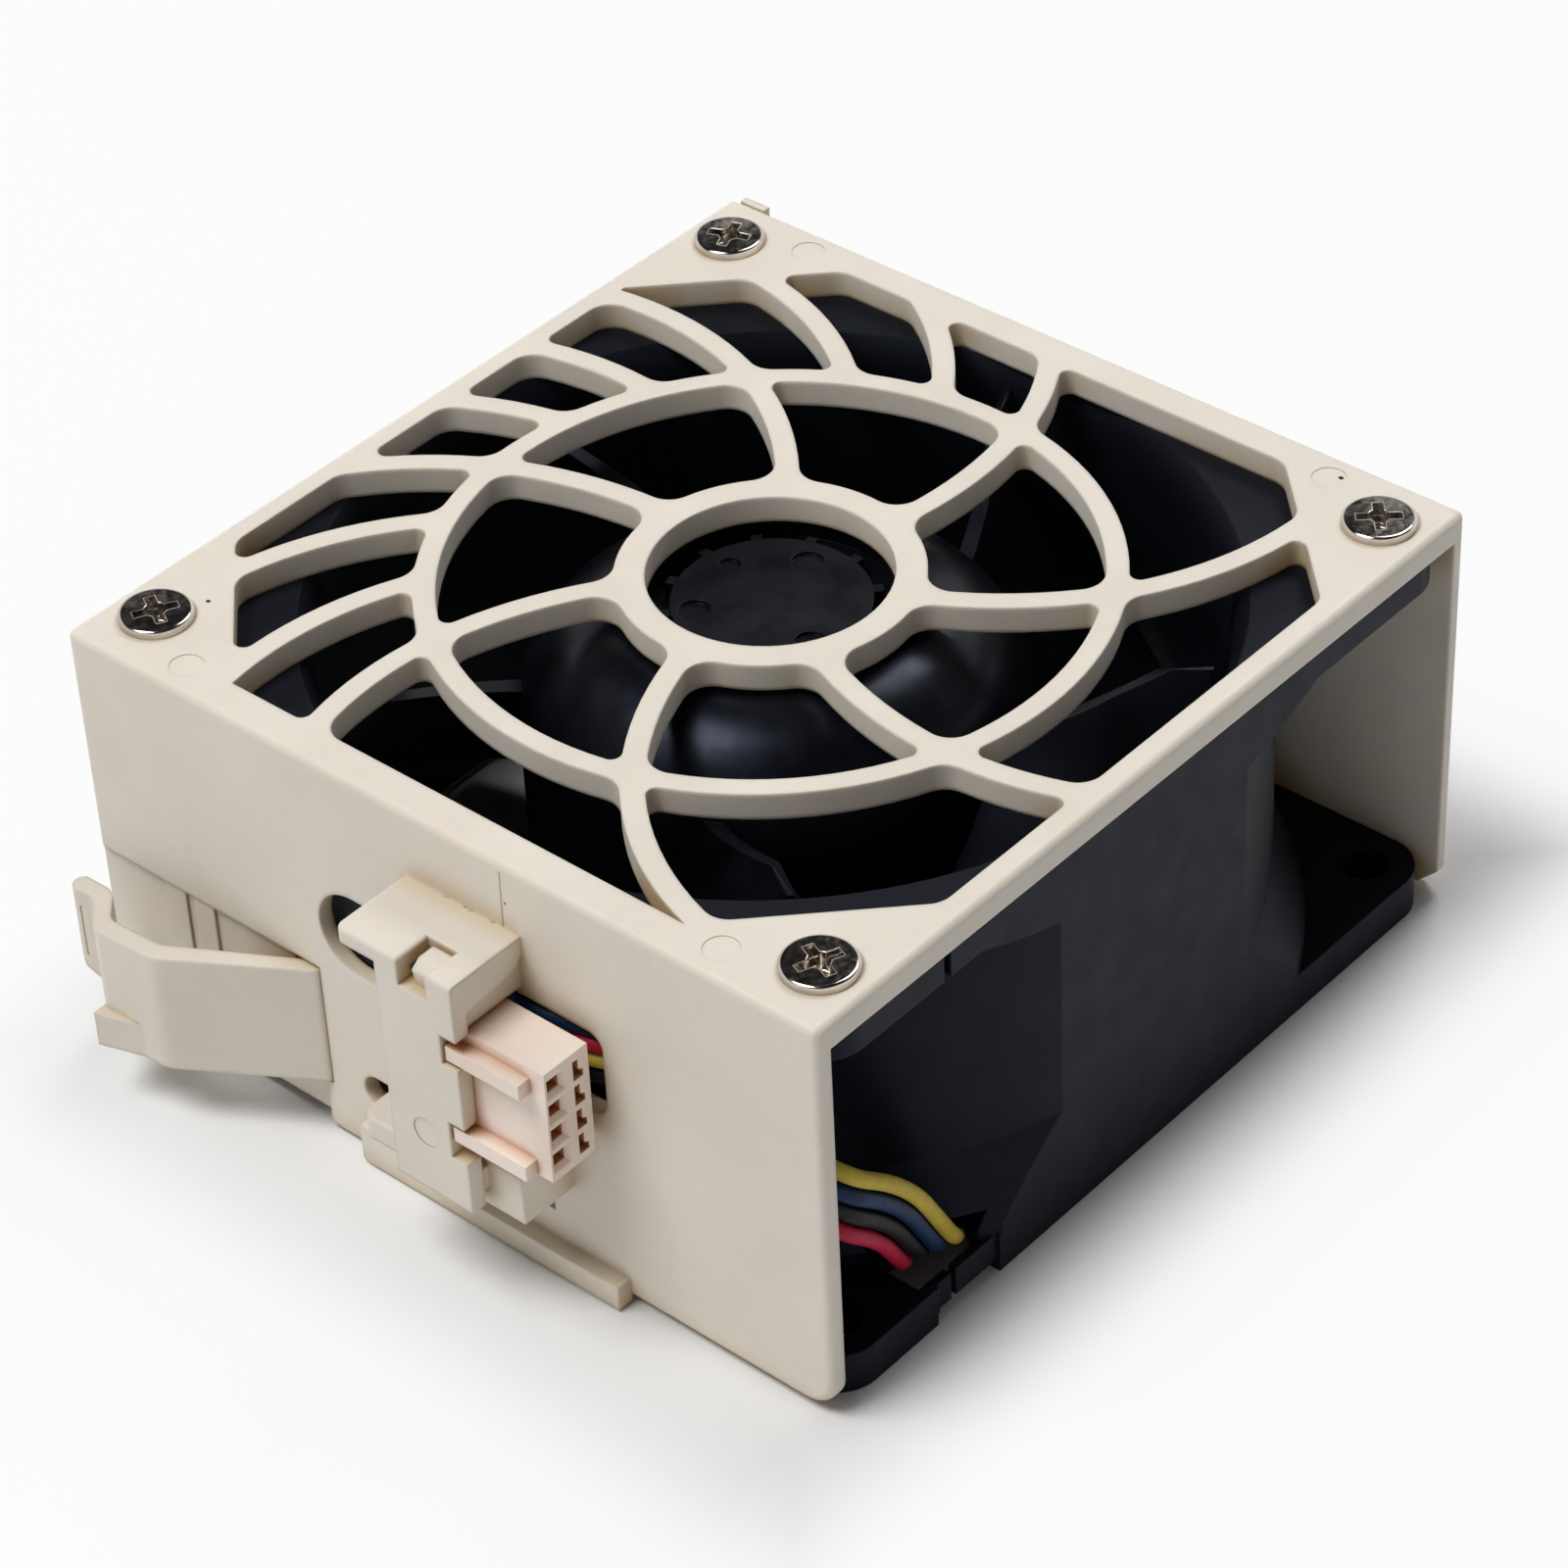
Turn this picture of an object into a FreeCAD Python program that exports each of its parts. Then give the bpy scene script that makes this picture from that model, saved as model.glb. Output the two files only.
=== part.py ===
import FreeCAD, Part
import math
import os
import Sketcher

Vector = FreeCAD.Vector

# Server fan module: an 80 x 80 x 38 mm axial fan screwed into a moulded
# hot-swap bracket.  The origin is on the fan axis, on the exhaust flange face,
# +Z is the way from the exhaust to the grille, -Y is the connector side and
# +X is the way the connector plugs in.  All sizes are in millimetres.

DRIVING = [
    # fan frame
    ("fan_side", 80.0, "side of the square fan frame"),
    ("fan_depth", 38.0, "depth of the fan frame along the axis"),
    ("hole_pitch", 71.5, "spacing of the four fan screw holes"),
    ("hole_bore", 4.3, "diameter of the free screw holes in the exhaust flange"),
    ("thread_bore", 4.7, "diameter of the intake flange holes, cut by the screws"),
    ("plate_bore", 5.0, "diameter of the screw holes in the bracket"),
    ("flange_corner", 4.0, "corner radius of the fan flanges"),
    ("exhaust_flange", 4.0, "thickness of the exhaust flange"),
    ("intake_flange", 3.0, "thickness of the intake flange"),
    ("duct_bore", 38.0, "inner radius of the duct"),
    ("duct_skin", 41.8, "outer radius of the duct barrel"),
    ("base_disc", 21.0, "radius of the motor base"),
    # bracket
    ("plate_length", 80.8, "bracket along X"),
    ("plate_width", 83.2, "bracket along Y"),
    ("plate_thick", 2.5, "thickness of the grille plate"),
    ("wall_thick", 1.5, "thickness of the bracket walls"),
    ("wall_foot", 0.6, "height of the lower edge of the walls"),
    ("rib_wide", 2.0, "width of the grille ribs"),
    ("latch_low", 5.6, "lower edge of the latch arm"),
    ("latch_high", 17.7, "upper edge of the latch arm"),
    ("latch_root", 1.4, "thickness of the latch arm at its root"),
    ("latch_root_x", -14.9, "bending axis of the latch, along X"),
    ("latch_root_y", -41.45, "bending axis of the latch, along Y"),
    ("inner_ring", 11.7, "mid radius of the small grille ring"),
    ("outer_ring", 28.6, "mid radius of the large grille ring"),
    ("grille_window", 38.2, "half side of the square grille window"),
    # rotor
    ("blade_tip", 37.3, "radius of the blade tips"),
    ("hub_skin", 21.75, "outer radius of the impeller hub"),
    ("hub_wall", 1.6, "wall of the impeller hub"),
    ("hub_top", 37.6, "height of the flat centre of the hub"),
    ("hub_foot", 6.0, "height of the open rim of the hub"),
    ("shaft_radius", 1.5, "radius of the shaft"),
    ("bearing_race", 4.0, "outer radius of the ball bearings"),
    ("bearing_wide", 4.0, "width of the ball bearings"),
    ("wire_wide", 1.4, "diameter of the insulated wires"),
]

# counts and angles that set the pattern of the parts
SPOKES = 7
BLADES = 5
SLOTS = 6
BALLS = 7
HUB_TEETH = 12
STRUT_ANGLE = -33.0
STRUT_WIDE = 8.2
LATCH_LEAN = 31.0
# the connector: height of its middle, its two ends along X and pitch of its rows
HOUSING_MIDDLE = 22.8
HOUSING_BACK = 7.0
HOUSING_FACE = 17.9
ROW_PITCH = 2.54
# the grille ribs: start angle, lean in degrees per mm and its growth, and how
# many places of the large ring have a rib close to the next one
RIB_START = 73.0
RIB_LEAN = 0.48
RIB_CURL = 0.0097
CLOSE_RIBS = 9
# reach of the window's cut corners: the sum of their two coordinates
CORNER_REACH = 62.5
# the holder: outer face of its front plate and upper face of its cap
HOLDER_FACE = 49.6
HOLDER_SKIN = 1.5
CAP_TOP = 34.0
# the stator: heights of the core's two faces, and radii of pole and insulator
CORE_LOW = 9.8
CORE_HIGH = 22.6
POLE_REACH = 16.6
COIL_WALL = 1.25
# lower faces of the two ball bearings, and the radius of their balls
BEARING_LOWS = (5.4, 24.4)
BALL_RADIUS = 0.78
# the circuit board
BOARD_LOW = 3.4
BOARD_TOP = 4.4
# the wires lie side by side in their channel
LANE_PITCH = 1.62

doc = FreeCAD.newDocument("ServerFanModule")
sheet = doc.addObject("Spreadsheet::Sheet", "dims")
for row, (alias, number, note) in enumerate(DRIVING, 1):
    sheet.set("A%d" % row, note)
    sheet.set("B%d" % row, str(number))
    sheet.setAlias("B%d" % row, alias)
doc.recompute()

NODES = []


def size(term):
    """The value of a number or of an expression in the sheet's aliases."""
    if isinstance(term, str):
        return float(sheet.evalExpression(term))
    return float(term)


def drive(item, prop, term):
    """Bind a property to the sheet, or set it when the term is a plain number."""
    if isinstance(term, str):
        item.setExpression(prop, term)
    else:
        item.setExpression(prop, repr(float(term)))


def new_body(label):
    """A PartDesign body that becomes one node of the assembly."""
    body = doc.addObject("PartDesign::Body", label)
    body.Label = label
    body.AllowCompound = True
    NODES.append(body)
    return body


def new_sketch(body, name, plane="XY_Plane", lift=0.0):
    """A sketch on one of the body's own origin planes, lifted along its normal."""
    sketch = body.newObject("Sketcher::SketchObject", name)
    for datum in body.Origin.OriginFeatures:
        if datum.Role == plane:
            sketch.AttachmentSupport = [(datum, "")]
    sketch.MapMode = "FlatFace"
    drive(sketch, "AttachmentOffset.Base.z", lift)
    return sketch


def fix_point(sketch, edge, spot, x, y):
    """Dimension one point of a sketch from the sketch origin."""
    for kind, term in (("DistanceX", x), ("DistanceY", y)):
        index = sketch.addConstraint(Sketcher.Constraint(kind, -1, 1, edge, spot, size(term)))
        if isinstance(term, str):
            sketch.setExpression("Constraints[%d]" % index, term)


def circle(sketch, x, y, radius):
    """A dimensioned circle."""
    ring = Part.Circle(Vector(size(x), size(y), 0), Vector(0, 0, 1), size(radius))
    edge = sketch.addGeometry(ring, False)
    fix_point(sketch, edge, 3, x, y)
    index = sketch.addConstraint(Sketcher.Constraint("Radius", edge, size(radius)))
    if isinstance(radius, str):
        sketch.setExpression("Constraints[%d]" % index, radius)


def outline(sketch, corners):
    """A closed outline.  A corner is (x, y); with a third item, the edge that
    leaves it is an arc through that point."""
    spots = [Vector(size(c[0]), size(c[1]), 0) for c in corners]
    ends = []
    for here, corner in enumerate(corners):
        start, stop = spots[here], spots[(here + 1) % len(spots)]
        if len(corner) == 3:
            via = Vector(size(corner[2][0]), size(corner[2][1]), 0)
            edge = sketch.addGeometry(Part.Arc(start, via, stop), False)
            leftward = (via - start).cross(stop - via).z > 0
            ends.append((edge, 1, 2) if leftward else (edge, 2, 1))
        else:
            edge = sketch.addGeometry(Part.LineSegment(start, stop), False)
            ends.append((edge, 1, 2))
    for here, (edge, head, tail) in enumerate(ends):
        after, after_head, after_tail = ends[(here + 1) % len(ends)]
        sketch.addConstraint(Sketcher.Constraint("Coincident", edge, tail, after, after_head))
        fix_point(sketch, edge, head, corners[here][0], corners[here][1])


def rectangle(sketch, x0, y0, x1, y1):
    """A rectangle between two opposite corners."""
    outline(sketch, [(x0, y0), (x1, y0), (x1, y1), (x0, y1)])


def strip(sketch, start, via, stop, width):
    """A band of even width along the arc through three points."""
    arc = Part.Circle(Vector(*start, 0), Vector(*via, 0), Vector(*stop, 0))
    middle, radius = arc.Center, arc.Radius

    def beside(point, shift):
        ray = Vector(*point, 0) - middle
        spot = middle + ray * ((radius + shift) / ray.Length)
        return (spot.x, spot.y)

    half = width / 2
    outline(sketch, [
        (*beside(start, half), beside(via, half)),
        beside(stop, half),
        (*beside(stop, -half), beside(via, -half)),
        beside(start, -half),
    ])


def pad(body, sketch, length, name, back=False):
    """Material from the sketch along its normal, or against it."""
    feature = body.newObject("PartDesign::Pad", name)
    feature.Profile = sketch
    drive(feature, "Length", length)
    feature.Reversed = back
    sketch.Visibility = False
    return settle(body, feature)


def pocket(body, sketch, length, name, back=True):
    """A cut from the sketch along its normal (back) or against it."""
    before = body.Shape.Volume
    feature = body.newObject("PartDesign::Pocket", name)
    feature.Profile = sketch
    drive(feature, "Length", length)
    feature.Reversed = back
    settle(body, feature)
    if not body.Shape.Volume < before - 1e-3:
        raise RuntimeError("%s cuts nothing" % name)
    return feature


def turn(body, sketch, name, cut=False):
    """A revolution or groove about the sketch's upright axis."""
    before = body.Shape.Volume if cut else 0.0
    kind = "PartDesign::Groove" if cut else "PartDesign::Revolution"
    feature = body.newObject(kind, name)
    feature.Profile = sketch
    feature.ReferenceAxis = (sketch, ["V_Axis"])
    feature.Angle = 360
    settle(body, feature)
    if cut and not body.Shape.Volume < before - 1e-3:
        raise RuntimeError("%s cuts nothing" % name)
    return feature


def polar(body, originals, count, name):
    """Copies of features round the body's own Z axis."""
    feature = body.newObject("PartDesign::PolarPattern", name)
    feature.Originals = originals
    for datum in body.Origin.OriginFeatures:
        if datum.Role == "Z_Axis":
            feature.Axis = (datum, [""])
    feature.Angle = 360
    feature.Occurrences = count
    body.Tip = feature
    return settle(body, feature)


def round_edges(body, chosen, radius, name, kind="Fillet"):
    """A fillet or chamfer on the edges of the body that chosen() accepts."""
    picks = ["Edge%d" % (i + 1) for i, e in enumerate(body.Shape.Edges) if chosen(e)]
    before = body.Tip
    feature = body.newObject("PartDesign::" + kind, name)
    feature.Base = (before, picks)
    if kind == "Fillet":
        drive(feature, "Radius", radius)
    else:
        drive(feature, "Size", radius)
    body.Tip = feature
    return settle(body, feature)


def settle(body, feature):
    """Recompute and stop at once if the feature failed."""
    doc.recompute()
    if "Invalid" in feature.State or "Error" in feature.State:
        raise RuntimeError("%s failed in %s" % (feature.Name, body.Label))
    return feature


def flat_at(edge, height):
    """True for an edge that lies wholly at one height."""
    box = edge.BoundBox
    return abs(box.ZMin - height) < 1e-4 and abs(box.ZMax - height) < 1e-4


def upright(edge):
    """True for a straight edge along Z."""
    box = edge.BoundBox
    return box.XLength < 1e-4 and box.YLength < 1e-4 and box.ZLength > 1e-3


def turn_between(body, edge):
    """Angle between the outward normals of the two faces that meet at an edge."""
    middle = edge.valueAt((edge.FirstParameter + edge.LastParameter) / 2)
    normals = []
    for face in body.Shape.ancestorsOfType(edge, Part.Face):
        normals.append(face.normalAt(*face.Surface.parameter(middle)))
    return math.degrees(normals[0].getAngle(normals[1])) if len(normals) == 2 else 0.0


def rounded_rectangle(sketch, x0, y0, x1, y1, corner):
    """A rectangle with rounded corners."""
    x0, y0, x1, y1, r = size(x0), size(y0), size(x1), size(y1), size(corner)
    k = r * (1 - math.sqrt(0.5))
    outline(sketch, [
        (x0 + r, y0), (x1 - r, y0, (x1 - k, y0 + k)),
        (x1, y0 + r), (x1, y1 - r, (x1 - k, y1 - k)),
        (x1 - r, y1), (x0 + r, y1, (x0 + k, y1 - k)),
        (x0, y1 - r), (x0, y0 + r, (x0 + k, y0 + k)),
    ])


def rounded_square(sketch, half, corner):
    """A square about the origin with rounded corners."""
    side = size(half)
    rounded_rectangle(sketch, -side, -side, side, side, corner)


def fan_frame():
    """PBT duct: two flanges, a barrel, the motor base and its struts."""
    body = new_body("fan_frame")
    sk = new_sketch(body, "exhaust_flange_outline")
    rounded_square(sk, "dims.fan_side / 2", "dims.flange_corner")
    pad(body, sk, "dims.exhaust_flange", "exhaust_flange")
    sk = new_sketch(body, "intake_flange_outline", lift="dims.fan_depth")
    rounded_square(sk, "dims.fan_side / 2", "dims.flange_corner")
    pad(body, sk, "dims.intake_flange", "intake_flange", back=True)
    # the barrel flares towards both flanges
    depth = size("dims.fan_depth")
    sk = new_sketch(body, "barrel_profile", "XZ_Plane")
    outline(sk, [
        ("dims.duct_bore - 1", 1.0),
        ("dims.duct_skin + 2.9", 1.0),
        ("dims.duct_skin + 2.9", 5.0),
        ("dims.duct_skin", 11.5),
        ("dims.duct_skin", "dims.fan_depth - 6.5"),
        ("dims.duct_skin + 3.7", "dims.fan_depth - 3.0"),
        ("dims.duct_skin + 3.7", "dims.fan_depth - 1"),
        ("dims.duct_bore - 1", "dims.fan_depth - 1"),
    ])
    turn(body, sk, "barrel")
    # the barrel is trimmed flat where it meets the four sides
    sk = new_sketch(body, "side_trim_outline")
    circle(sk, 0, 0, "dims.fan_side")
    rounded_square(sk, "dims.fan_side / 2", "dims.flange_corner")
    pocket(body, sk, "dims.fan_depth", "side_trim")
    # the duct opens into a bell mouth at the intake and a flare at the exhaust
    sk = new_sketch(body, "duct_profile", "XZ_Plane")
    bore = size("dims.duct_bore")
    outline(sk, [
        (0, 0),
        ("dims.duct_bore + 1.0", 0, (bore + 0.3, 1.6)),
        ("dims.duct_bore", 3.6),
        ("dims.duct_bore", "dims.fan_depth - 4", (bore + 0.4, depth - 1.7)),
        ("dims.duct_bore + 1.4", "dims.fan_depth"),
        (0, "dims.fan_depth"),
    ])
    turn(body, sk, "duct", cut=True)
    motor_base(body)
    # screw holes: free in the exhaust flange, threaded in the intake flange
    sk = new_sketch(body, "screw_hole")
    circle(sk, "dims.hole_pitch / 2", "dims.hole_pitch / 2", "dims.hole_bore / 2")
    hole = pocket(body, sk, "dims.fan_depth / 2", "screw_bore")
    polar(body, [hole], 4, "screw_bores")
    sk = new_sketch(body, "thread_hole", lift="dims.fan_depth")
    circle(sk, "dims.hole_pitch / 2", "dims.hole_pitch / 2", "dims.thread_bore / 2")
    hole = pocket(body, sk, "dims.fan_depth / 2", "thread_bore", back=False)
    polar(body, [hole], 4, "thread_bores")
    wire_exit(body)
    return body


def motor_base(body):
    """Disc, boss, skirt and struts that carry the motor in the duct."""
    sk = new_sketch(body, "base_outline", lift=0.5)
    circle(sk, 0, 0, "dims.base_disc")
    pad(body, sk, 2.0, "base")
    # three plain struts and one broad strut that covers the wires
    angle = math.radians(STRUT_ANGLE)
    sk = new_sketch(body, "wire_strut_outline", lift=0.5)
    inner, outer = size("dims.base_disc") - 1.5, size("dims.duct_bore") + 1.2
    half = STRUT_WIDE / 2
    outline(sk, [spin(x, y, angle) for x, y in
                 ((inner, -half), (outer, -half), (outer, half), (inner, half))])
    pad(body, sk, 4.6, "wire_strut")
    for turn_index in range(1, 4):
        lean = angle + math.radians(90 * turn_index)
        sk = new_sketch(body, "strut_outline_%d" % turn_index, lift=0.5)
        strip(sk, spin(inner, -2.5, lean), spin((inner + outer) / 2, 0, lean),
              spin(outer, 0.5, lean), 2.4)
        pad(body, sk, 4.6, "strut_%d" % turn_index)
    sk = new_sketch(body, "skirt_outline", lift=2.4)
    circle(sk, 0, 0, "dims.base_disc")
    circle(sk, 0, 0, "dims.base_disc - 1.2")
    pad(body, sk, 2.6, "skirt")
    sk = new_sketch(body, "boss_outline", lift=2.4)
    circle(sk, 0, 0, "dims.bearing_race + 3.0")
    pad(body, sk, 3.6, "boss")
    sk = new_sketch(body, "boss_hole", lift=1.5)
    circle(sk, 0, 0, "dims.bearing_race + 1.4")
    pocket(body, sk, 5.0, "boss_bore")


def spin(x, y, angle):
    """A flat point turned about the origin."""
    c, s = math.cos(angle), math.sin(angle)
    return (x * c - y * s, x * s + y * c)


def wire_exit(body):
    """Channel under the broad strut and the notch in the exhaust flange."""
    angle = math.radians(STRUT_ANGLE)
    half = STRUT_WIDE / 2 - 0.75
    sk = new_sketch(body, "channel_outline")
    outline(sk, [spin(x, y, angle) for x, y in
                 ((11.5, -half), (44.5, -half), (44.5, half), (11.5, half))])
    pocket(body, sk, 3.1, "wire_channel")
    # the flange is notched through, with two thin tabs that hold the wires in
    sk = new_sketch(body, "notch_outline")
    outline(sk, [(32.2, -29.3), (38.9, -29.3), (38.9, -26.2), (40.5, -26.2),
                 (40.5, -25.6), (38.9, -25.6), (38.9, -20.2), (34.6, -20.2)])
    pocket(body, sk, 6.4, "wire_notch")
    sk = new_sketch(body, "tab_relief_outline")
    rectangle(sk, 39.7, -28.0, 40.5, -20.4)
    pocket(body, sk, 4.5, "tab_relief")
    sk = new_sketch(body, "tab_foot_outline")
    rectangle(sk, 35.2, -28.2, 40.5, -20.4)
    pocket(body, sk, 1.2, "tab_foot")
    # a short slot in the intake flange above the notch
    sk = new_sketch(body, "intake_slot_outline", lift="dims.fan_depth")
    rectangle(sk, 39.0, -26.4, 40.5, -25.6)
    pocket(body, sk, 3.5, "intake_slot", back=False)


def grille_spiral(turn_angle, radius):
    """A point of a grille rib: the rib leans on as its radius grows."""
    lean = math.radians(turn_angle + RIB_LEAN * (radius - 13.0) + RIB_CURL * (radius - 13.0) ** 2)
    return (radius * math.cos(lean), radius * math.sin(lean))


def window_reach(turn_angle):
    """Radius at which a rib has just passed into the rim of the window."""
    half = size("dims.grille_window")
    radius = 30.0
    while True:
        x, y = grille_spiral(turn_angle, radius)
        if max(abs(x), abs(y)) > half + 1.0 or abs(x) + abs(y) > CORNER_REACH + 1.4:
            return radius
        radius += 0.25


def grille_plate(body):
    """The plate with its square window, the two rings and the curved ribs."""
    top = "dims.fan_depth + dims.plate_thick"
    sk = new_sketch(body, "plate_outline", lift="dims.fan_depth")
    rectangle(sk, "-dims.plate_length / 2", "-dims.plate_width / 2",
              "dims.plate_length / 2", "dims.plate_width / 2")
    pad(body, sk, "dims.plate_thick", "plate")
    half = size("dims.grille_window")
    cut = CORNER_REACH - half
    sk = new_sketch(body, "window_outline", lift=top)
    outline(sk, [(half, -cut), (half, cut), (cut, half), (-cut, half),
                 (-half, cut), (-half, -cut), (-cut, -half), (cut, -half)])
    pocket(body, sk, "dims.plate_thick", "window", back=False)
    sk = new_sketch(body, "ring_outlines", lift="dims.fan_depth")
    for ring, wide in (("dims.inner_ring", 1.3), ("dims.outer_ring", 0.95)):
        circle(sk, 0, 0, "%s + %g" % (ring, wide))
        circle(sk, 0, 0, "%s - %g" % (ring, wide))
    pad(body, sk, "dims.plate_thick", "rings")
    # seven spokes run on through the large ring; on the -X side two more ribs
    # fill each gap between them
    wide = size("dims.rib_wide")
    step = 360.0 / (3 * SPOKES)
    sk = new_sketch(body, "spoke_outlines", lift="dims.fan_depth")
    for spoke in range(SPOKES):
        start = RIB_START + 3 * step * spoke
        strip(sk, grille_spiral(start, 12.0), grille_spiral(start, 20.0),
              grille_spiral(start, 28.4), wide)
    pad(body, sk, "dims.plate_thick", "spokes")
    sk = new_sketch(body, "outer_rib_outlines", lift="dims.fan_depth")
    for place in range(3 * SPOKES):
        if place % 3 and place > CLOSE_RIBS:
            continue
        start = RIB_START + step * place
        reach = window_reach(start)
        strip(sk, grille_spiral(start, 28.8), grille_spiral(start, (28.8 + reach) / 2),
              grille_spiral(start, reach), wide)
    pad(body, sk, "dims.plate_thick", "outer_ribs")
    soften_grille(body)


def soften_grille(body):
    """Rounds the upright corners of the grille windows, the wide ones most."""
    for name, least, most, radius in (
            ("narrow_corners", 95.0, 178.0, 0.9), ("wide_corners", 20.0, 95.0, 2.4)):
        round_edges(body, lambda edge: upright(edge) and in_window(body, edge)
                    and least < turn_between(body, edge) < most, radius, name)


def in_window(body, edge):
    """True for an edge inside the grille window that has room for a rounding."""
    middle = edge.BoundBox.Center
    widths = [face.BoundBox.DiagonalLength - size("dims.plate_thick")
              for face in body.Shape.ancestorsOfType(edge, Part.Face)]
    return (max(abs(middle.x), abs(middle.y)) < size("dims.grille_window") + 0.1
            and min(widths) > 0.3)


def fan_bracket():
    """Moulded bracket: grille plate, two walls and the connector holder."""
    body = new_body("fan_bracket")
    grille_plate(body)
    sk = new_sketch(body, "plate_hole", lift="dims.fan_depth")
    circle(sk, "dims.hole_pitch / 2", "dims.hole_pitch / 2", "dims.plate_bore / 2")
    hole = pocket(body, sk, "dims.plate_thick", "plate_bore")
    polar(body, [hole], 4, "plate_bores")
    walls(body)
    holder(body)
    pin_marks(body)
    return body


def pin_marks(body):
    """Faint round marks that the ejector pins of the mould left."""
    sk = new_sketch(body, "plate_mark_outline", lift="dims.fan_depth + dims.plate_thick")
    for x, y in ((-29.0, -38.8), (28.5, -38.6), (28.6, 38.6), (-29.0, 38.8)):
        circle(sk, x, y, 1.5)
    pocket(body, sk, 0.06, "plate_marks", back=False)
    sk = new_sketch(body, "holder_mark_outline", "XZ_Plane", lift=HOLDER_FACE)
    circle(sk, 5.6, 16.7, 1.4)
    pocket(body, sk, 0.08, "holder_mark", back=False)


def walls(body):
    """Front wall (connector side) and rear wall."""
    top = "dims.fan_depth + 0.2"
    inside = "dims.plate_width / 2 - dims.wall_thick"
    length = "dims.plate_length / 2"
    sk = new_sketch(body, "front_wall_outline", "XZ_Plane", lift=inside)
    outline(sk, [
        ("-" + length, top), ("-" + length, "dims.wall_foot + 0.9"),
        (-15.4, "dims.wall_foot + 0.9"), (-15.0, "dims.wall_foot - 0.1"),
        (-9.8, "dims.wall_foot - 0.1"), (-9.8, 1.6),
        (19.0, 1.6), (19.0, "dims.wall_foot"),
        (length + " - 3", "dims.wall_foot", (39.52, 1.48)), (length, "dims.wall_foot + 3"),
        (length, top),
    ])
    pad(body, sk, "dims.wall_thick", "front_wall")
    sk = new_sketch(body, "rear_wall_outline", "XZ_Plane", lift="-dims.plate_width / 2")
    outline(sk, [
        ("-" + length, top), ("-" + length, "dims.wall_foot"),
        (length + " - 2", "dims.wall_foot"), (length, "dims.wall_foot + 2"),
        (length, top),
    ])
    pad(body, sk, "dims.wall_thick", "rear_wall")
    half_x, half_y = size(length), size("dims.plate_width / 2")
    roof = size("dims.fan_depth + dims.plate_thick")

    def on_rim(edge):
        middle = edge.BoundBox.Center
        side = abs(abs(middle.x) - half_x) < 1e-3, abs(abs(middle.y) - half_y) < 1e-3
        return (flat_at(edge, roof) and any(side)) or (upright(edge) and all(side))

    round_edges(body, on_rim, 0.7, "rim_rounding")
    # slots behind the connector and behind the foot of its holder
    outside = "dims.plate_width / 2"
    sk = new_sketch(body, "wire_window_outline", "XZ_Plane", lift=outside)
    outline(sk, [
        (-9.2, 19.4), (16.5, 19.4, (17.56, 19.84)), (18.0, 20.9),
        (18.0, 26.3, (17.56, 27.36)), (16.5, 27.8), (-9.2, 27.8, (-13.4, 23.6)),
    ])
    pocket(body, sk, "dims.wall_thick", "wire_window", back=False)
    sk = new_sketch(body, "lower_slot_outline", "XZ_Plane", lift=outside)
    outline(sk, [(-8.7, 5.6), (11.1, 5.6), (11.1, 8.8), (-8.7, 8.8, (-10.3, 7.2))])
    pocket(body, sk, "dims.wall_thick", "lower_slot", back=False)
    # the wall is thinned behind the latch, with two upright grooves
    sk = new_sketch(body, "latch_recess_outline", "XZ_Plane", lift=outside)
    rectangle(sk, "-dims.plate_length / 2", "dims.wall_foot - 0.5", -14.9, 17.9)
    pocket(body, sk, 0.45, "latch_recess", back=False)
    sk = new_sketch(body, "latch_rib_outline", "XZ_Plane", lift=outside + " - 0.5")
    rectangle(sk, -32.6, "dims.wall_foot + 0.9", -30.2, 18.0)
    rectangle(sk, -29.2, "dims.wall_foot + 0.9", -26.8, 18.0)
    pad(body, sk, 0.3, "latch_ribs")
    latch_relief(body)
    # stop rib on the rear wall
    sk = new_sketch(body, "rear_rib_outline", "XZ_Plane", lift="-dims.plate_width / 2 + 0.1")
    rectangle(sk, -39.4, "dims.wall_foot", -36.6, "dims.fan_depth + dims.plate_thick")
    pad(body, sk, 0.75, "rear_rib", back=True)


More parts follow.
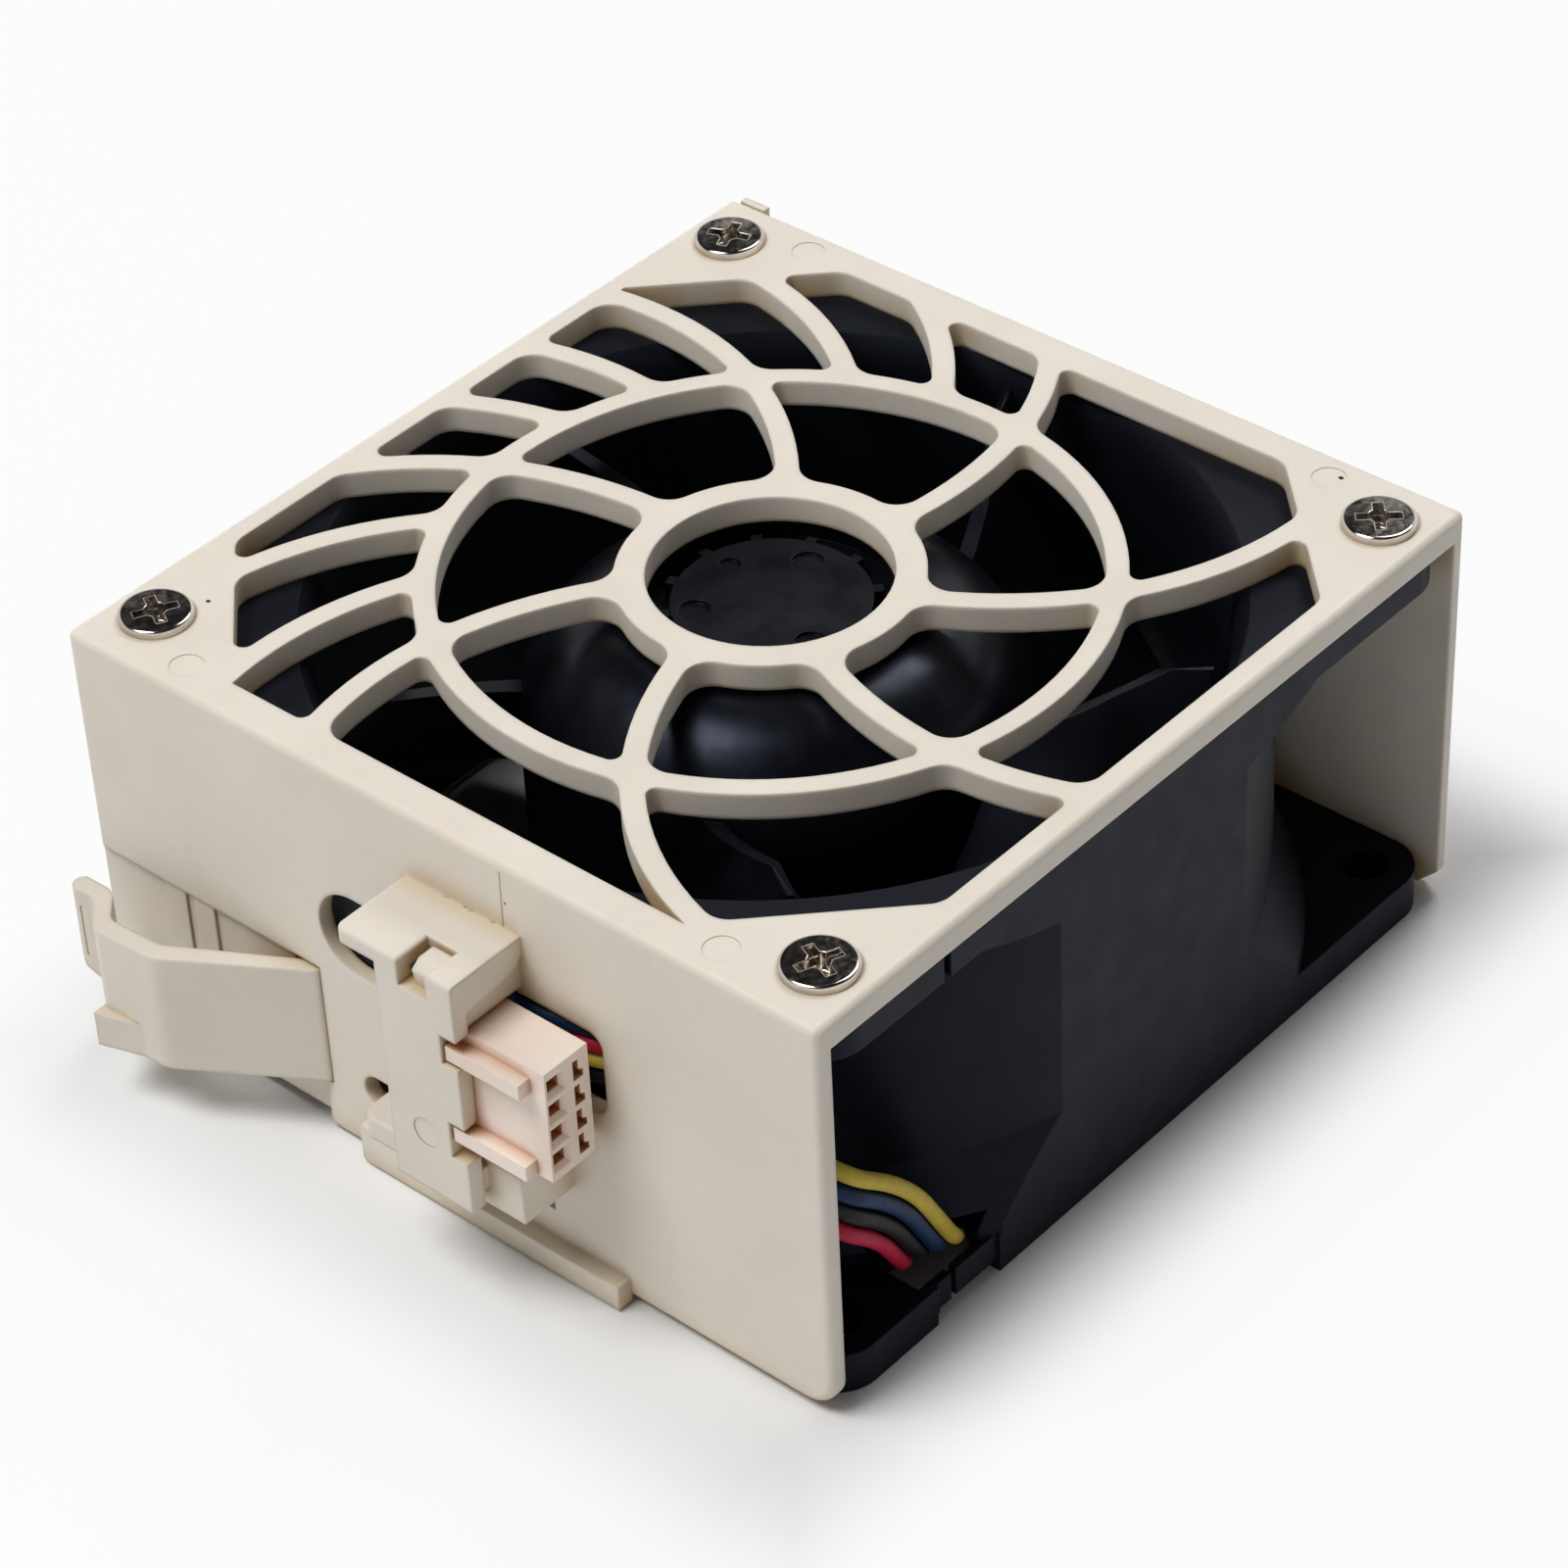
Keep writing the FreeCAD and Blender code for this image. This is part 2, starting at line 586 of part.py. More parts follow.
def holder(body):
    """Hook-shaped holder that takes the connector, moulded on the front wall."""
    wall = "dims.plate_width / 2"
    # top cap with a lip to the left, pierced by the notch for the snap finger
    sk = new_sketch(body, "cap_outline", lift=CAP_TOP - HOLDER_SKIN)
    outline(sk, [
        (-2.5, -40.9), (-2.5, -48.8, (-2.25, -49.35)), (-1.7, -HOLDER_FACE),
        (4.2, -HOLDER_FACE), (4.2, -46.0), (7.3, -46.0), (7.3, -HOLDER_FACE),
        (10.0, -HOLDER_FACE), (10.0, -40.9),
    ])
    pad(body, sk, HOLDER_SKIN, "holder_cap")
    round_edges(body, lambda edge: flat_at(edge, CAP_TOP) and edge.BoundBox.YMax < -41.7
                and edge.BoundBox.YMin < -46.1, 0.35, "cap_rounding")
    # front plate with two notches for the rails of the connector
    sk = new_sketch(body, "front_plate_outline", "XZ_Plane", lift=HOLDER_FACE - HOLDER_SKIN)
    outline(sk, [
        (1.7, 10.4), (10.0, 10.4), (10.0, 15.6), (8.3, 15.6), (8.3, 19.3), (10.0, 19.3),
        (10.0, 25.5), (8.3, 25.5), (8.3, 28.4), (10.0, 28.4), (10.0, 33.0),
        (7.3, 33.0), (7.3, 31.4), (4.2, 31.4), (4.2, 33.0), (1.7, 33.0),
    ])
    pad(body, sk, HOLDER_SKIN, "holder_front")
    # end wall over the mouth, its lower edge rounded towards the wall
    sk = new_sketch(body, "end_wall_outline", "YZ_Plane", lift=8.5)
    outline(sk, [
        (-48.6, 33.0), (-48.6, 30.4), (-43.6, 31.0, (-42.05, 31.7)), (-41.4, 33.2),
    ])
    pad(body, sk, HOLDER_SKIN, "end_wall")
    sk = new_sketch(body, "mouth_wall_outline", "YZ_Plane", lift=8.5)
    outline(sk, [(-48.6, 33.0), (-48.6, 28.7), (-41.2, 28.7), (-41.2, 33.0)])
    pad(body, sk, 1.1, "mouth_wall")
    # snap finger that looks out of the notch
    sk = new_sketch(body, "finger_outline", "YZ_Plane", lift=5.2)
    outline(sk, [(-48.6, 31.2), (-48.9, 33.0), (-48.0, 33.7), (-46.4, 33.7), (-45.9, 32.7),
                 (-45.9, 31.2)])
    pad(body, sk, 2.1, "snap_finger")
    # floor lip, foot block and the rail along the lower edge of the wall
    sk = new_sketch(body, "floor_outline", lift=11.8)
    outline(sk, [
        (-2.4, -44.6), (-2.4, -48.0, (-2.1, -48.8)), (-1.4, -49.2), (1.7, -49.2),
        (1.7, -48.4), (9.9, -48.4), (9.9, -41.0), (4.5, -41.0),
    ])
    pad(body, sk, 2.2, "holder_floor")
    sk = new_sketch(body, "foot_block_outline", lift=9.6)
    rectangle(sk, 8.5, -47.3, 13.5, -41.0)
    pad(body, sk, 4.9, "foot_block")
    sk = new_sketch(body, "foot_rail_outline", "XZ_Plane", lift=wall + " - 0.2")
    outline(sk, [(-9.8, 4.2), (-9.8, 0.6, (-9.6, 0.3)), (-9.2, 0.2), (19.0, 0.2), (19.0, 2.6),
                 (1.8, 2.6), (1.8, 4.2)])
    pad(body, sk, 1.7, "foot_rail")


def latch_arm():
    """Spring arm with a finger grip, moulded on the front wall by its root."""
    body = new_body("latch_arm")
    lean = math.radians(LATCH_LEAN)
    root_x, root_y = size("dims.latch_root_x"), size("dims.latch_root_y")
    half = size("dims.latch_root") / 2

    def root(forward, aside):
        return (root_x - forward * math.cos(lean) + aside * math.sin(lean),
                root_y - forward * math.sin(lean) - aside * math.cos(lean))

    sk = new_sketch(body, "arm_outline", lift="dims.latch_low")
    outline(sk, [
        (*root(0, -half), root(-half, 0)), root(0, half),
        (-25.4, -48.7, (-26.1, -49.05)), (-26.8, -49.2),
        (-32.3, -49.5, (-33.0, -49.3)), (-33.5, -48.85),
        (-34.9, -47.4, (-35.6, -46.8)), (-36.5, -46.6),
        (-37.9, -46.9, (-38.7, -46.2)), (-38.2, -45.1), (-35.9, -45.05, (-34.9, -45.35)),
        (-34.2, -46.0), (-32.9, -47.4, (-32.5, -47.65)), (-31.8, -47.7),
        (-27.4, -47.5, (-26.9, -47.42)), (-26.4, -47.2),
    ])
    pad(body, sk, "dims.latch_high - dims.latch_low", "arm")
    # the grip ends higher than the arm, with a rounded lower corner
    sk = new_sketch(body, "grip_trim_outline", "XZ_Plane", lift=44.0)
    outline(sk, [(-39.5, 5.0), (-33.4, 5.0), (-34.3, 6.4), (-36.0, 8.2, (-38.2, 9.6)),
                 (-39.2, 12.0), (-39.5, 12.0)])
    pocket(body, sk, 8.0, "grip_trim", back=True)
    # shallow finger panel on the grip
    sk = new_sketch(body, "finger_panel_outline", "XZ_Plane", lift=47.6)
    rectangle(sk, -37.6, 10.6, -36.2, 16.0)
    pocket(body, sk, 0.85, "finger_panel", back=False)
    # wedge that catches the chassis, at the lower edge of the arm
    sk = new_sketch(body, "wedge_outline", lift="dims.latch_low")
    outline(sk, [(-28.3, -49.2), (-33.0, -50.7), (-33.0, -49.1), (-31.0, -49.0)])
    pad(body, sk, 3.6, "catch_wedge")
    return body


def latch_relief(body):
    """Groove in the front wall that the root of the latch flexes in."""
    root_x, root_y = "dims.latch_root_x", "dims.latch_root_y"
    deep = root_y + " + dims.latch_root / 2 + 0.1"
    for name, outer in (("root_groove", None), ("flex_groove", -17.4)):
        sk = new_sketch(body, name + "_outline", lift="dims.latch_high + 0.3")
        if outer is None:
            circle(sk, root_x, root_y, "dims.latch_root / 2 + 0.1")
        else:
            rectangle(sk, outer, -42.0, root_x, deep)
        pocket(body, sk, "dims.latch_high - dims.latch_low + 0.6", name, back=False)


def impeller():
    """Five swept blades on a domed hub."""
    body = new_body("impeller")
    sections = []
    for name, radius, lead, tail, thick in (
            ("root", 12.0, 10.0, -38.0, 1.9),
            ("middle", 26.0, 20.0, -33.0, 1.5),
            ("tip", 41.0, 30.5, -26.5, 1.1)):
        sk = new_sketch(body, name + "_section", "YZ_Plane", lift=radius)
        high, low = 36.6, 8.5
        a, b = radius * math.tan(math.radians(lead)), radius * math.tan(math.radians(tail))
        sag = 0.10 * (a - b)
        middle = ((a + b) / 2 + sag * 0.55, (high + low) / 2 - sag)
        strip(sk, (a, high), middle, (b, low), thick)
        sections.append(sk)
    blade = body.newObject("PartDesign::AdditiveLoft", "blade")
    blade.Profile = sections[0]
    blade.Sections = sections[1:]
    settle(body, blade)
    sk = new_sketch(body, "blade_trim_profile", "XZ_Plane")
    outline(sk, [("dims.blade_tip", -5), (70, -5), (70, 60), ("dims.blade_tip", 60)])
    outer = turn(body, sk, "tip_trim", cut=True)
    sk = new_sketch(body, "core_trim_profile", "XZ_Plane")
    outline(sk, [(0, -5), ("dims.hub_skin - 0.6", -5), ("dims.hub_skin - 0.6", 60), (0, 60)])
    core = turn(body, sk, "core_trim", cut=True)
    sk = new_sketch(body, "height_trim_profile", "XZ_Plane")
    outline(sk, [(20, 30.0), (34, 36.9), ("dims.blade_tip + 1", 36.6), (60, 60), (20, 60)])
    crown = turn(body, sk, "height_trim", cut=True)
    polar(body, [blade, outer, core, crown], BLADES, "blades")
    hub(body)
    return body


def hub(body):
    """Domed cup with a flat centre, a moat and small balancing teeth."""
    sk = new_sketch(body, "hub_profile", "XZ_Plane")
    skin = size("dims.hub_skin")
    top = size("dims.hub_top")
    outline(sk, [
        (0, "dims.hub_top"),
        (8.5, "dims.hub_top"), (8.5, "dims.hub_top - 1.8"), (11.4, "dims.hub_top - 1.8"),
        (11.4, "dims.hub_top - 0.2", (15.6, top - 0.95)),
        ("dims.hub_skin - 3.2", "dims.hub_top - 3.0", (skin - 0.75, top - 6.4)),
        ("dims.hub_skin", "dims.hub_top - 11"),
        ("dims.hub_skin", "dims.hub_foot"),
        ("dims.hub_skin - dims.hub_wall", "dims.hub_foot"),
        ("dims.hub_skin - dims.hub_wall", "dims.hub_top - 5.2"),
        (0, "dims.hub_top - 5.2"),
    ])
    turn(body, sk, "hub_cup")
    sk = new_sketch(body, "tooth_outline", lift="dims.hub_top - 1.9")
    outline(sk, [spin(x, y, math.radians(19)) for x, y in
                 ((8.3, -0.5), (9.4, -0.5), (9.4, 0.5), (8.3, 0.5))])
    tooth = pad(body, sk, 1.7, "tooth")
    polar(body, [tooth], HUB_TEETH, "teeth")
    # marks of the ejector pins and of the gate
    sk = new_sketch(body, "pin_mark_outline", lift="dims.hub_top")
    for reach, angle, radius in ((5.9, 100, 1.4), (6.5, 232, 1.4), (6.9, 338, 1.4), (6.1, 166, 0.95)):
        circle(sk, *spin(reach, 0, math.radians(angle)), radius)
    pocket(body, sk, 0.3, "pin_marks", back=False)


def ring_node(label, low, high, inner, outer):
    """A plain ring about the fan axis."""
    body = new_body(label)
    sk = new_sketch(body, label + "_outline", lift=low)
    circle(sk, 0, 0, outer)
    if inner:
        circle(sk, 0, 0, inner)
    pad(body, sk, "(%s) - (%s)" % (high, low), label + "_pad")
    return body


def rotor_yoke():
    """Drawn steel cup inside the hub that closes the magnetic circuit."""
    body = new_body("rotor_yoke")
    roof = "dims.hub_top - 5.2"
    sk = new_sketch(body, "yoke_profile", "XZ_Plane")
    outline(sk, [
        (3.6, roof), (3.6, roof + " - 1"),
        ("dims.hub_skin - dims.hub_wall - 1", roof + " - 1"),
        ("dims.hub_skin - dims.hub_wall - 1", 7.2),
        ("dims.hub_skin - dims.hub_wall", 7.2), ("dims.hub_skin - dims.hub_wall", roof),
    ])
    turn(body, sk, "yoke_cup")
    return body


def shaft_boss():
    """Brass boss that ties the shaft to the yoke."""
    body = new_body("shaft_boss")
    roof = size("dims.hub_top") - 5.2
    sk = new_sketch(body, "boss_profile", "XZ_Plane")
    outline(sk, [
        ("dims.shaft_radius", roof), ("dims.shaft_radius", roof - 3.2), (2.6, roof - 3.2),
        (3.6, roof - 2.2), (3.6, roof),
    ])
    turn(body, sk, "boss_turned")
    return body


def rotor_shaft():
    """Ground steel shaft with a groove for the retaining ring."""
    body = new_body("rotor_shaft")
    roof = size("dims.hub_top") - 5.2
    sk = new_sketch(body, "shaft_profile", "XZ_Plane")
    outline(sk, [
        (0, 3.2), (1.3, 3.2), ("dims.shaft_radius", 3.5), ("dims.shaft_radius", 4.85),
        (1.1, 4.85), (1.1, 5.35), ("dims.shaft_radius", 5.35),
        ("dims.shaft_radius", roof), (0, roof),
    ])
    turn(body, sk, "shaft_turned")
    return body


def bearing_tube():
    """Brass tube pressed in the base; shoulders inside it seat both bearings."""
    body = new_body("bearing_tube")
    low, high = size("dims.bearing_wide") + BEARING_LOWS[0], BEARING_LOWS[1]
    sk = new_sketch(body, "tube_profile", "XZ_Plane")
    outline(sk, [
        ("dims.bearing_race", 2.5), ("dims.bearing_race + 1.4", 2.5),
        ("dims.bearing_race + 1.4", 28.4), ("dims.bearing_race", 28.4),
        ("dims.bearing_race", high), (3.2, high), (3.2, low), ("dims.bearing_race", low),
    ])
    turn(body, sk, "tube_turned")
    return body


def bearings():
    """Two ball bearings: outer rings, inner rings and balls as three nodes."""
    outer = new_body("bearing_outer_rings")
    inner = new_body("bearing_inner_rings")
    track = (size("dims.bearing_race") + size("dims.shaft_radius")) / 2
    for index, low in enumerate(BEARING_LOWS):
        mid = "%s + dims.bearing_wide / 2" % low
        high = "%s + dims.bearing_wide" % low
        middle = size(mid)
        sk = new_sketch(outer, "outer_race_%d" % index, "XZ_Plane")
        outline(sk, [
            ("dims.bearing_race", low), ("dims.bearing_race", high), (3.3, high),
            (3.3, middle + 0.62, (track + 0.83, middle)), (3.3, middle - 0.62), (3.3, low),
        ])
        turn(outer, sk, "outer_ring_%d" % index)
        sk = new_sketch(inner, "inner_race_%d" % index, "XZ_Plane")
        outline(sk, [
            ("dims.shaft_radius", low), (2.2, low), (2.2, middle - 0.62, (track - 0.83, middle)),
            (2.2, middle + 0.62), (2.2, high), ("dims.shaft_radius", high),
        ])
        turn(inner, sk, "inner_ring_%d" % index)
    balls = []
    for low in BEARING_LOWS:
        for ball in range(BALLS):
            angle = 2 * math.pi * ball / BALLS
            item = doc.addObject("Part::Sphere", "ball")
            item.Radius = BALL_RADIUS
            item.Placement.Base = Vector(track * math.cos(angle), track * math.sin(angle),
                                         low + size("dims.bearing_wide") / 2)
            balls.append(item)
    return group("bearing_balls", balls)


def group(label, items):
    """Identical separate pieces that share one node."""
    bundle = doc.addObject("Part::Compound", label)
    bundle.Label = label
    bundle.Links = items
    NODES.append(bundle)
    return bundle


def stator_tooth(sketch, reach):
    """One pole: a neck and a shoe that follows the air gap."""
    shoe = math.radians(25.0)
    outline(sketch, [
        (7.6, -1.6), (reach - 1.6, -1.6),
        spin(reach - 1.5, 0, -shoe), (*spin(reach, 0, -shoe), (reach, 0.0)),
        spin(reach, 0, shoe), spin(reach - 1.5, 0, shoe),
        (reach - 1.6, 1.6), (7.6, 1.6),
    ])


def stator():
    """Laminated core with six poles, its two insulators and its six coils."""
    low, high = CORE_LOW, CORE_HIGH
    for label, floor, roof, reach in (
            ("stator_core", low, high, POLE_REACH),
            ("lower_insulator", low - 1.0, low, POLE_REACH - 0.4),
            ("upper_insulator", high, high + 1.0, POLE_REACH - 0.4)):
        body = new_body(label)
        sk = new_sketch(body, label + "_ring", lift=floor)
        circle(sk, 0, 0, 8.0)
        circle(sk, 0, 0, "dims.bearing_race + 1.4")
        pad(body, sk, roof - floor, label + "_hoop")
        sk = new_sketch(body, label + "_tooth", lift=floor)
        stator_tooth(sk, reach)
        tooth = pad(body, sk, roof - floor, label + "_pole")
        polar(body, [tooth], SLOTS, label + "_poles")
    coils = new_body("stator_coils")
    sk = new_sketch(coils, "coil_outline", "YZ_Plane", lift=8.6)
    neck, fall = 1.65, 1.05
    rounded_rectangle(sk, -neck - COIL_WALL, low - fall - COIL_WALL,
                      neck + COIL_WALL, high + fall + COIL_WALL, 1.2)
    rectangle(sk, -neck, low - fall, neck, high + fall)
    coil = pad(coils, sk, 4.9, "coil")
    polar(coils, [coil], SLOTS, "coils")


def circuit_board():
    """Drive board between the base and the stator, with its parts."""
    body = new_body("circuit_board")
    sk = new_sketch(body, "board_outline", lift=BOARD_LOW)
    circle(sk, 0, 0, 18.8)
    circle(sk, 0, 0, "dims.bearing_race + 3.2")
    pad(body, sk, BOARD_TOP - BOARD_LOW, "board")
    chip = new_body("driver_chip")
    sk = new_sketch(chip, "chip_outline", lift=BOARD_TOP)
    rectangle(sk, -3.0, 10.5, 3.0, 15.5)
    pad(chip, sk, 1.3, "chip")
    sensor = new_body("hall_sensor")
    sk = new_sketch(sensor, "sensor_outline", lift=BOARD_TOP)
    outline(sk, [(16.2, -2.0), (17.4, -2.0), (17.9, -1.2), (17.9, 1.2), (17.4, 2.0), (16.2, 2.0)])
    pad(sensor, sk, 2.6, "sensor")
    parts = []
    for x, y in ((-13.5, 3.0), (-13.5, -3.0), (-9.0, -11.0)):
        can = doc.addObject("Part::Cylinder", "can")
        can.Radius = 2.0
        can.Height = 2.4
        can.Placement.Base = Vector(x, y, BOARD_TOP)
        parts.append(can)
    group("board_capacitors", parts)


def retaining_ring():
    """Split ring in the groove of the shaft, under the lower bearing."""
    body = new_body("retaining_ring")
    sk = new_sketch(body, "ring_outline", lift=4.9)
    circle(sk, 0, 0, 2.7)
    circle(sk, 0, 0, 1.12)
    pad(body, sk, 0.4, "ring")
    sk = new_sketch(body, "gap_outline", lift=4.0)
    rectangle(sk, 0.2, -0.6, 3.0, 0.6)
    pocket(body, sk, 1.0, "gap")
    return body


def spring_washer():
    """Conical spring washer between the boss and the upper bearing."""
    body = new_body("spring_washer")
    sk = new_sketch(body, "washer_profile", "XZ_Plane")
    outline(sk, [(1.6, 28.95), (1.6, 29.2), (2.5, 28.75), (2.5, 28.5)])
    turn(body, sk, "washer")
    return body


def screw_master():
    """A flat-topped screw with a cross recess, from which the four are copied."""
    body = doc.addObject("PartDesign::Body", "screw_master")
    body.Label = "screw_master"
    top = size("dims.fan_depth") + size("dims.plate_thick")
    tip = top - 7.6
    thread = size("dims.thread_bore") / 2 - 0.05
    sk = new_sketch(body, "screw_profile", "XZ_Plane")
    outline(sk, [
        (0, tip), (1.6, tip), (thread, tip + 0.8), (thread, top), (3.2, top),
        (3.2, top + 0.4, (3.09, top + 0.66)), (2.8, top + 0.76), (0, top + 0.84),
    ])
    turn(body, sk, "screw_turned")
    sk = new_sketch(body, "recess_outline", lift=top + 0.9)
    arm, slot = 1.95, 0.46
    outline(sk, [(arm, -slot), (arm, slot), (slot, slot), (slot, arm), (-slot, arm), (-slot, slot),
                 (-arm, slot), (-arm, -slot), (-slot, -slot), (-slot, -arm), (slot, -arm),
                 (slot, -slot)])
    pocket(body, sk, 1.5, "cross_recess", back=False)
    sk = new_sketch(body, "recess_core_outline", lift=top + 0.9)
    circle(sk, 0, 0, 0.95)
    pocket(body, sk, 1.9, "recess_core", back=False)
    return body


def fan_screws():
    """The screw, set in each of the four holes and turned as it was left."""
    master = screw_master()
    half = size("dims.hole_pitch") / 2
    copies = []
    for x, y, turned in ((-half, -half, 62), (-half, half, 20), (half, -half, 68), (half, half, 40)):
        copy = doc.addObject("Part::Feature", "screw")
        copy.Shape = master.Shape
        copy.Placement = FreeCAD.Placement(Vector(x, y, 0), FreeCAD.Rotation(Vector(0, 0, 1), turned))
        copies.append(copy)
    return group("fan_screws", copies)


def connector():
    """Four-row, two-column housing and the four crimped terminals in it."""
    body = new_body("connector_housing")
    face = HOUSING_FACE
    middle = HOUSING_MIDDLE
    sk = new_sketch(body, "housing_outline", "YZ_Plane", lift=HOUSING_BACK)
    rectangle(sk, -48.05, middle - 5.6, -43.15, middle + 5.6)
    pad(body, sk, face - HOUSING_BACK, "housing")
    # two rails on the outer side run in the notches of the holder
    sk = new_sketch(body, "rail_outline", "YZ_Plane", lift=8.5)
    rectangle(sk, -49.35, middle + 3.0, -47.9, middle + 4.5)
    rectangle(sk, -49.35, middle - 5.5, -47.9, middle - 4.0)
    pad(body, sk, face - 1.6 - 8.5, "rails")
    rows = [middle + (line - 1.5) * ROW_PITCH for line in range(4)]
    sk = new_sketch(body, "cavity_outline", "YZ_Plane", lift=face)
    for z in rows:
        rectangle(sk, -47.45, z - 0.6, -46.25, z + 0.6)
    pocket(body, sk, 7.0, "cavities", back=False)

    def on_mouth(edge):
        box = edge.BoundBox
        inner = box.YMax < -46.0 and box.YMin > -47.8
        return inner and abs(box.XMin - face) < 1e-4 and box.XLength < 1e-4

    round_edges(body, on_mouth, 0.42, "cavity_mouths", "Chamfer")
    # the windows of the second column, each stepped round its contact latch
    sk = new_sketch(body, "window_outline", "YZ_Plane", lift=face)
    for z in rows:
        outline(sk, [(-44.9, z - 1.0), (-43.8, z - 1.0), (-43.8, z - 0.35), (-44.3, z - 0.1),
                     (-44.3, z + 0.95), (-44.9, z + 0.95)])
    pocket(body, sk, 6.0, "windows", back=False)
    pins = []
    for z in rows:
        pin = doc.addObject("Part::Box", "terminal")
        pin.Length, pin.Width, pin.Height = 4.5, 1.0, 1.0
        pin.Placement.Base = Vector(face - 7.0, -47.35, z - 0.5)
        pins.append(pin)
    group("crimp_terminals", pins)


def cord_path(points):
    """Straight runs joined by tangent arcs as large as the runs allow."""
    spots = [Vector(*p) for p in points]
    shares = [0.9] + [0.49] * (len(spots) - 3) + [0.9]
    edges = []
    start = spots[0]
    for index, corner in enumerate(spots[1:-1]):
        come, leave = corner - spots[index], spots[index + 2] - corner
        cut = min(come.Length * shares[index], leave.Length * shares[index + 1])
        half_turn = come.getAngle(leave) / 2
        radius = cut / math.tan(half_turn)
        come.normalize()
        leave.normalize()
        first = corner - come * cut
        last = corner + leave * cut
        inward = leave - come
        inward.normalize()
        centre = corner + inward * (radius / math.cos(half_turn))
        to_corner = corner - centre
        to_corner.normalize()
        edges.append(Part.LineSegment(start, first).toShape())
        edges.append(Part.Arc(first, centre + to_corner * radius, last).toShape())
        start = last
    edges.append(Part.LineSegment(start, spots[-1]).toShape())
    return Part.Wire(edges)


def wires():
    """Four insulated wires: board, strut channel, notch, wall, holder, housing."""
    radius = size("dims.wire_wide") / 2
    for lane, (label, row, layer) in enumerate((
            ("wire_red", 2, -39.3), ("wire_black", 0, -37.8),
            ("wire_blue", 3, -39.3), ("wire_yellow", 1, -37.8))):
        points = wire_route(lane, row, layer)
        path = cord_path(points)
        start = path.Edges[0]
        ring = Part.Wire(Part.makeCircle(radius, Vector(*points[0]),
                                         start.tangentAt(start.FirstParameter)))
        item = doc.addObject("Part::Feature", label)
        item.Label = label
        item.Shape = path.makePipeShell([ring], True, False)
        NODES.append(item)
        bends = [e.Curve.Radius for e in path.Edges if isinstance(e.Curve, Part.Circle)]
        print(label, "bend radii", [round(r, 1) for r in bends], "volume ratio",
              round(item.Shape.Volume / (math.pi * radius ** 2 * path.Length), 4))


def wire_route(lane, row, layer):
    """One wire from the board to its row of the housing.  Lanes lie side by side
    in the channel; behind the wall they cross in two layers."""
    angle = math.radians(STRUT_ANGLE)
    side = (lane - 1.5) * LANE_PITCH
    level = 21.6 + 1.6 * row
    socket = HOUSING_MIDDLE + (row - 1.5) * ROW_PITCH
    return [
        (*spin(12.6, side, angle), 2.55),
        (*spin(18.0, side, angle), 1.55),
        (*spin(30.0, side, angle), 1.5),
        (*spin(44.4 - 0.27 * lane, side, angle), 1.55),
        (38.3 + 0.32 * lane, -33.2 + 0.9 * lane, 12.2 + 1.45 * lane),
        (39.0, -39.3 + 0.25 * lane, 17.9 + 1.75 * lane),
        (30.0, layer, 19.2 + 1.6 * lane),
        (22.5, layer, level),
        (18.2, -39.0, level),
        (12.0, -41.15, level),
        (2.9, -41.15, level),
        (2.9, -46.85, (level + socket) / 2),
        (HOUSING_BACK - 0.25, -46.85, socket),
    ]


def check_all():
    """Stops the build when an object or a node's shape isn't sound."""
    for item in doc.Objects:
        if "Invalid" in item.State or "Error" in item.State:
            raise RuntimeError("%s is in state %s" % (item.Name, item.State))
    for node in NODES:
        if node.Shape.isNull() or not node.Shape.isValid() or not node.Shape.Solids:
            raise RuntimeError("%s has no valid shape" % node.Label)
        print(node.Label, len(node.Shape.Solids), "solids", round(node.Shape.Volume, 1), "mm3")


def write_parts():
    """One STEP file for each node."""
    os.makedirs("parts", exist_ok=True)
    for node in NODES:
        node.Shape.exportStep("parts/%s.step" % node.Label)


fan_frame()
fan_bracket()
latch_arm()
impeller()
rotor_yoke()
shaft_boss()
rotor_shaft()
ring_node("magnet_ring", "8.2", "27", "dims.hub_skin - dims.hub_wall - 3",
          "dims.hub_skin - dims.hub_wall - 1")
bearing_tube()
bearings()
stator()
circuit_board()
retaining_ring()
spring_washer()
fan_screws()
connector()
wires()
doc.recompute()
check_all()
write_parts()
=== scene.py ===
"""Finishes and fine detail of a server fan module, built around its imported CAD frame."""

import math
import random

import bmesh
import bpy
from mathutils import Euler, Matrix, Vector


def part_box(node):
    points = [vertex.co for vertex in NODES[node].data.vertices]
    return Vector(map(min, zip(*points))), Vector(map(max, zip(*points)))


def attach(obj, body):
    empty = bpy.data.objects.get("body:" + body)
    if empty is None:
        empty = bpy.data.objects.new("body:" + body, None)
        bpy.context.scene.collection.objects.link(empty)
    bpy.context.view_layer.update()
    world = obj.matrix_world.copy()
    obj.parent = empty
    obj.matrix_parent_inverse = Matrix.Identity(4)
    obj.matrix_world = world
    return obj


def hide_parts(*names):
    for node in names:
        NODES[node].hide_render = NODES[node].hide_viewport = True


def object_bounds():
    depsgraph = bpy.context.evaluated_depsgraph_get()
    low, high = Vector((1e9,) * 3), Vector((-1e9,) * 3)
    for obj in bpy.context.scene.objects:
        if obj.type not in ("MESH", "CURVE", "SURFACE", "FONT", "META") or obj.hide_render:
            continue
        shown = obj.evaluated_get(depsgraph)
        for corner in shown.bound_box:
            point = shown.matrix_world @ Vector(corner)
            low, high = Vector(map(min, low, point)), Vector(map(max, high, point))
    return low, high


bl_info = {
    "name": "Server fan module",
    "version": (1, 0, 0),
    "blender": (4, 5, 0),
    "location": "View3D > Sidebar > Fan module",
    "description": "Adds the finishes, the fine detail and a studio to a hot-swap fan module",
    "category": "Object",
}

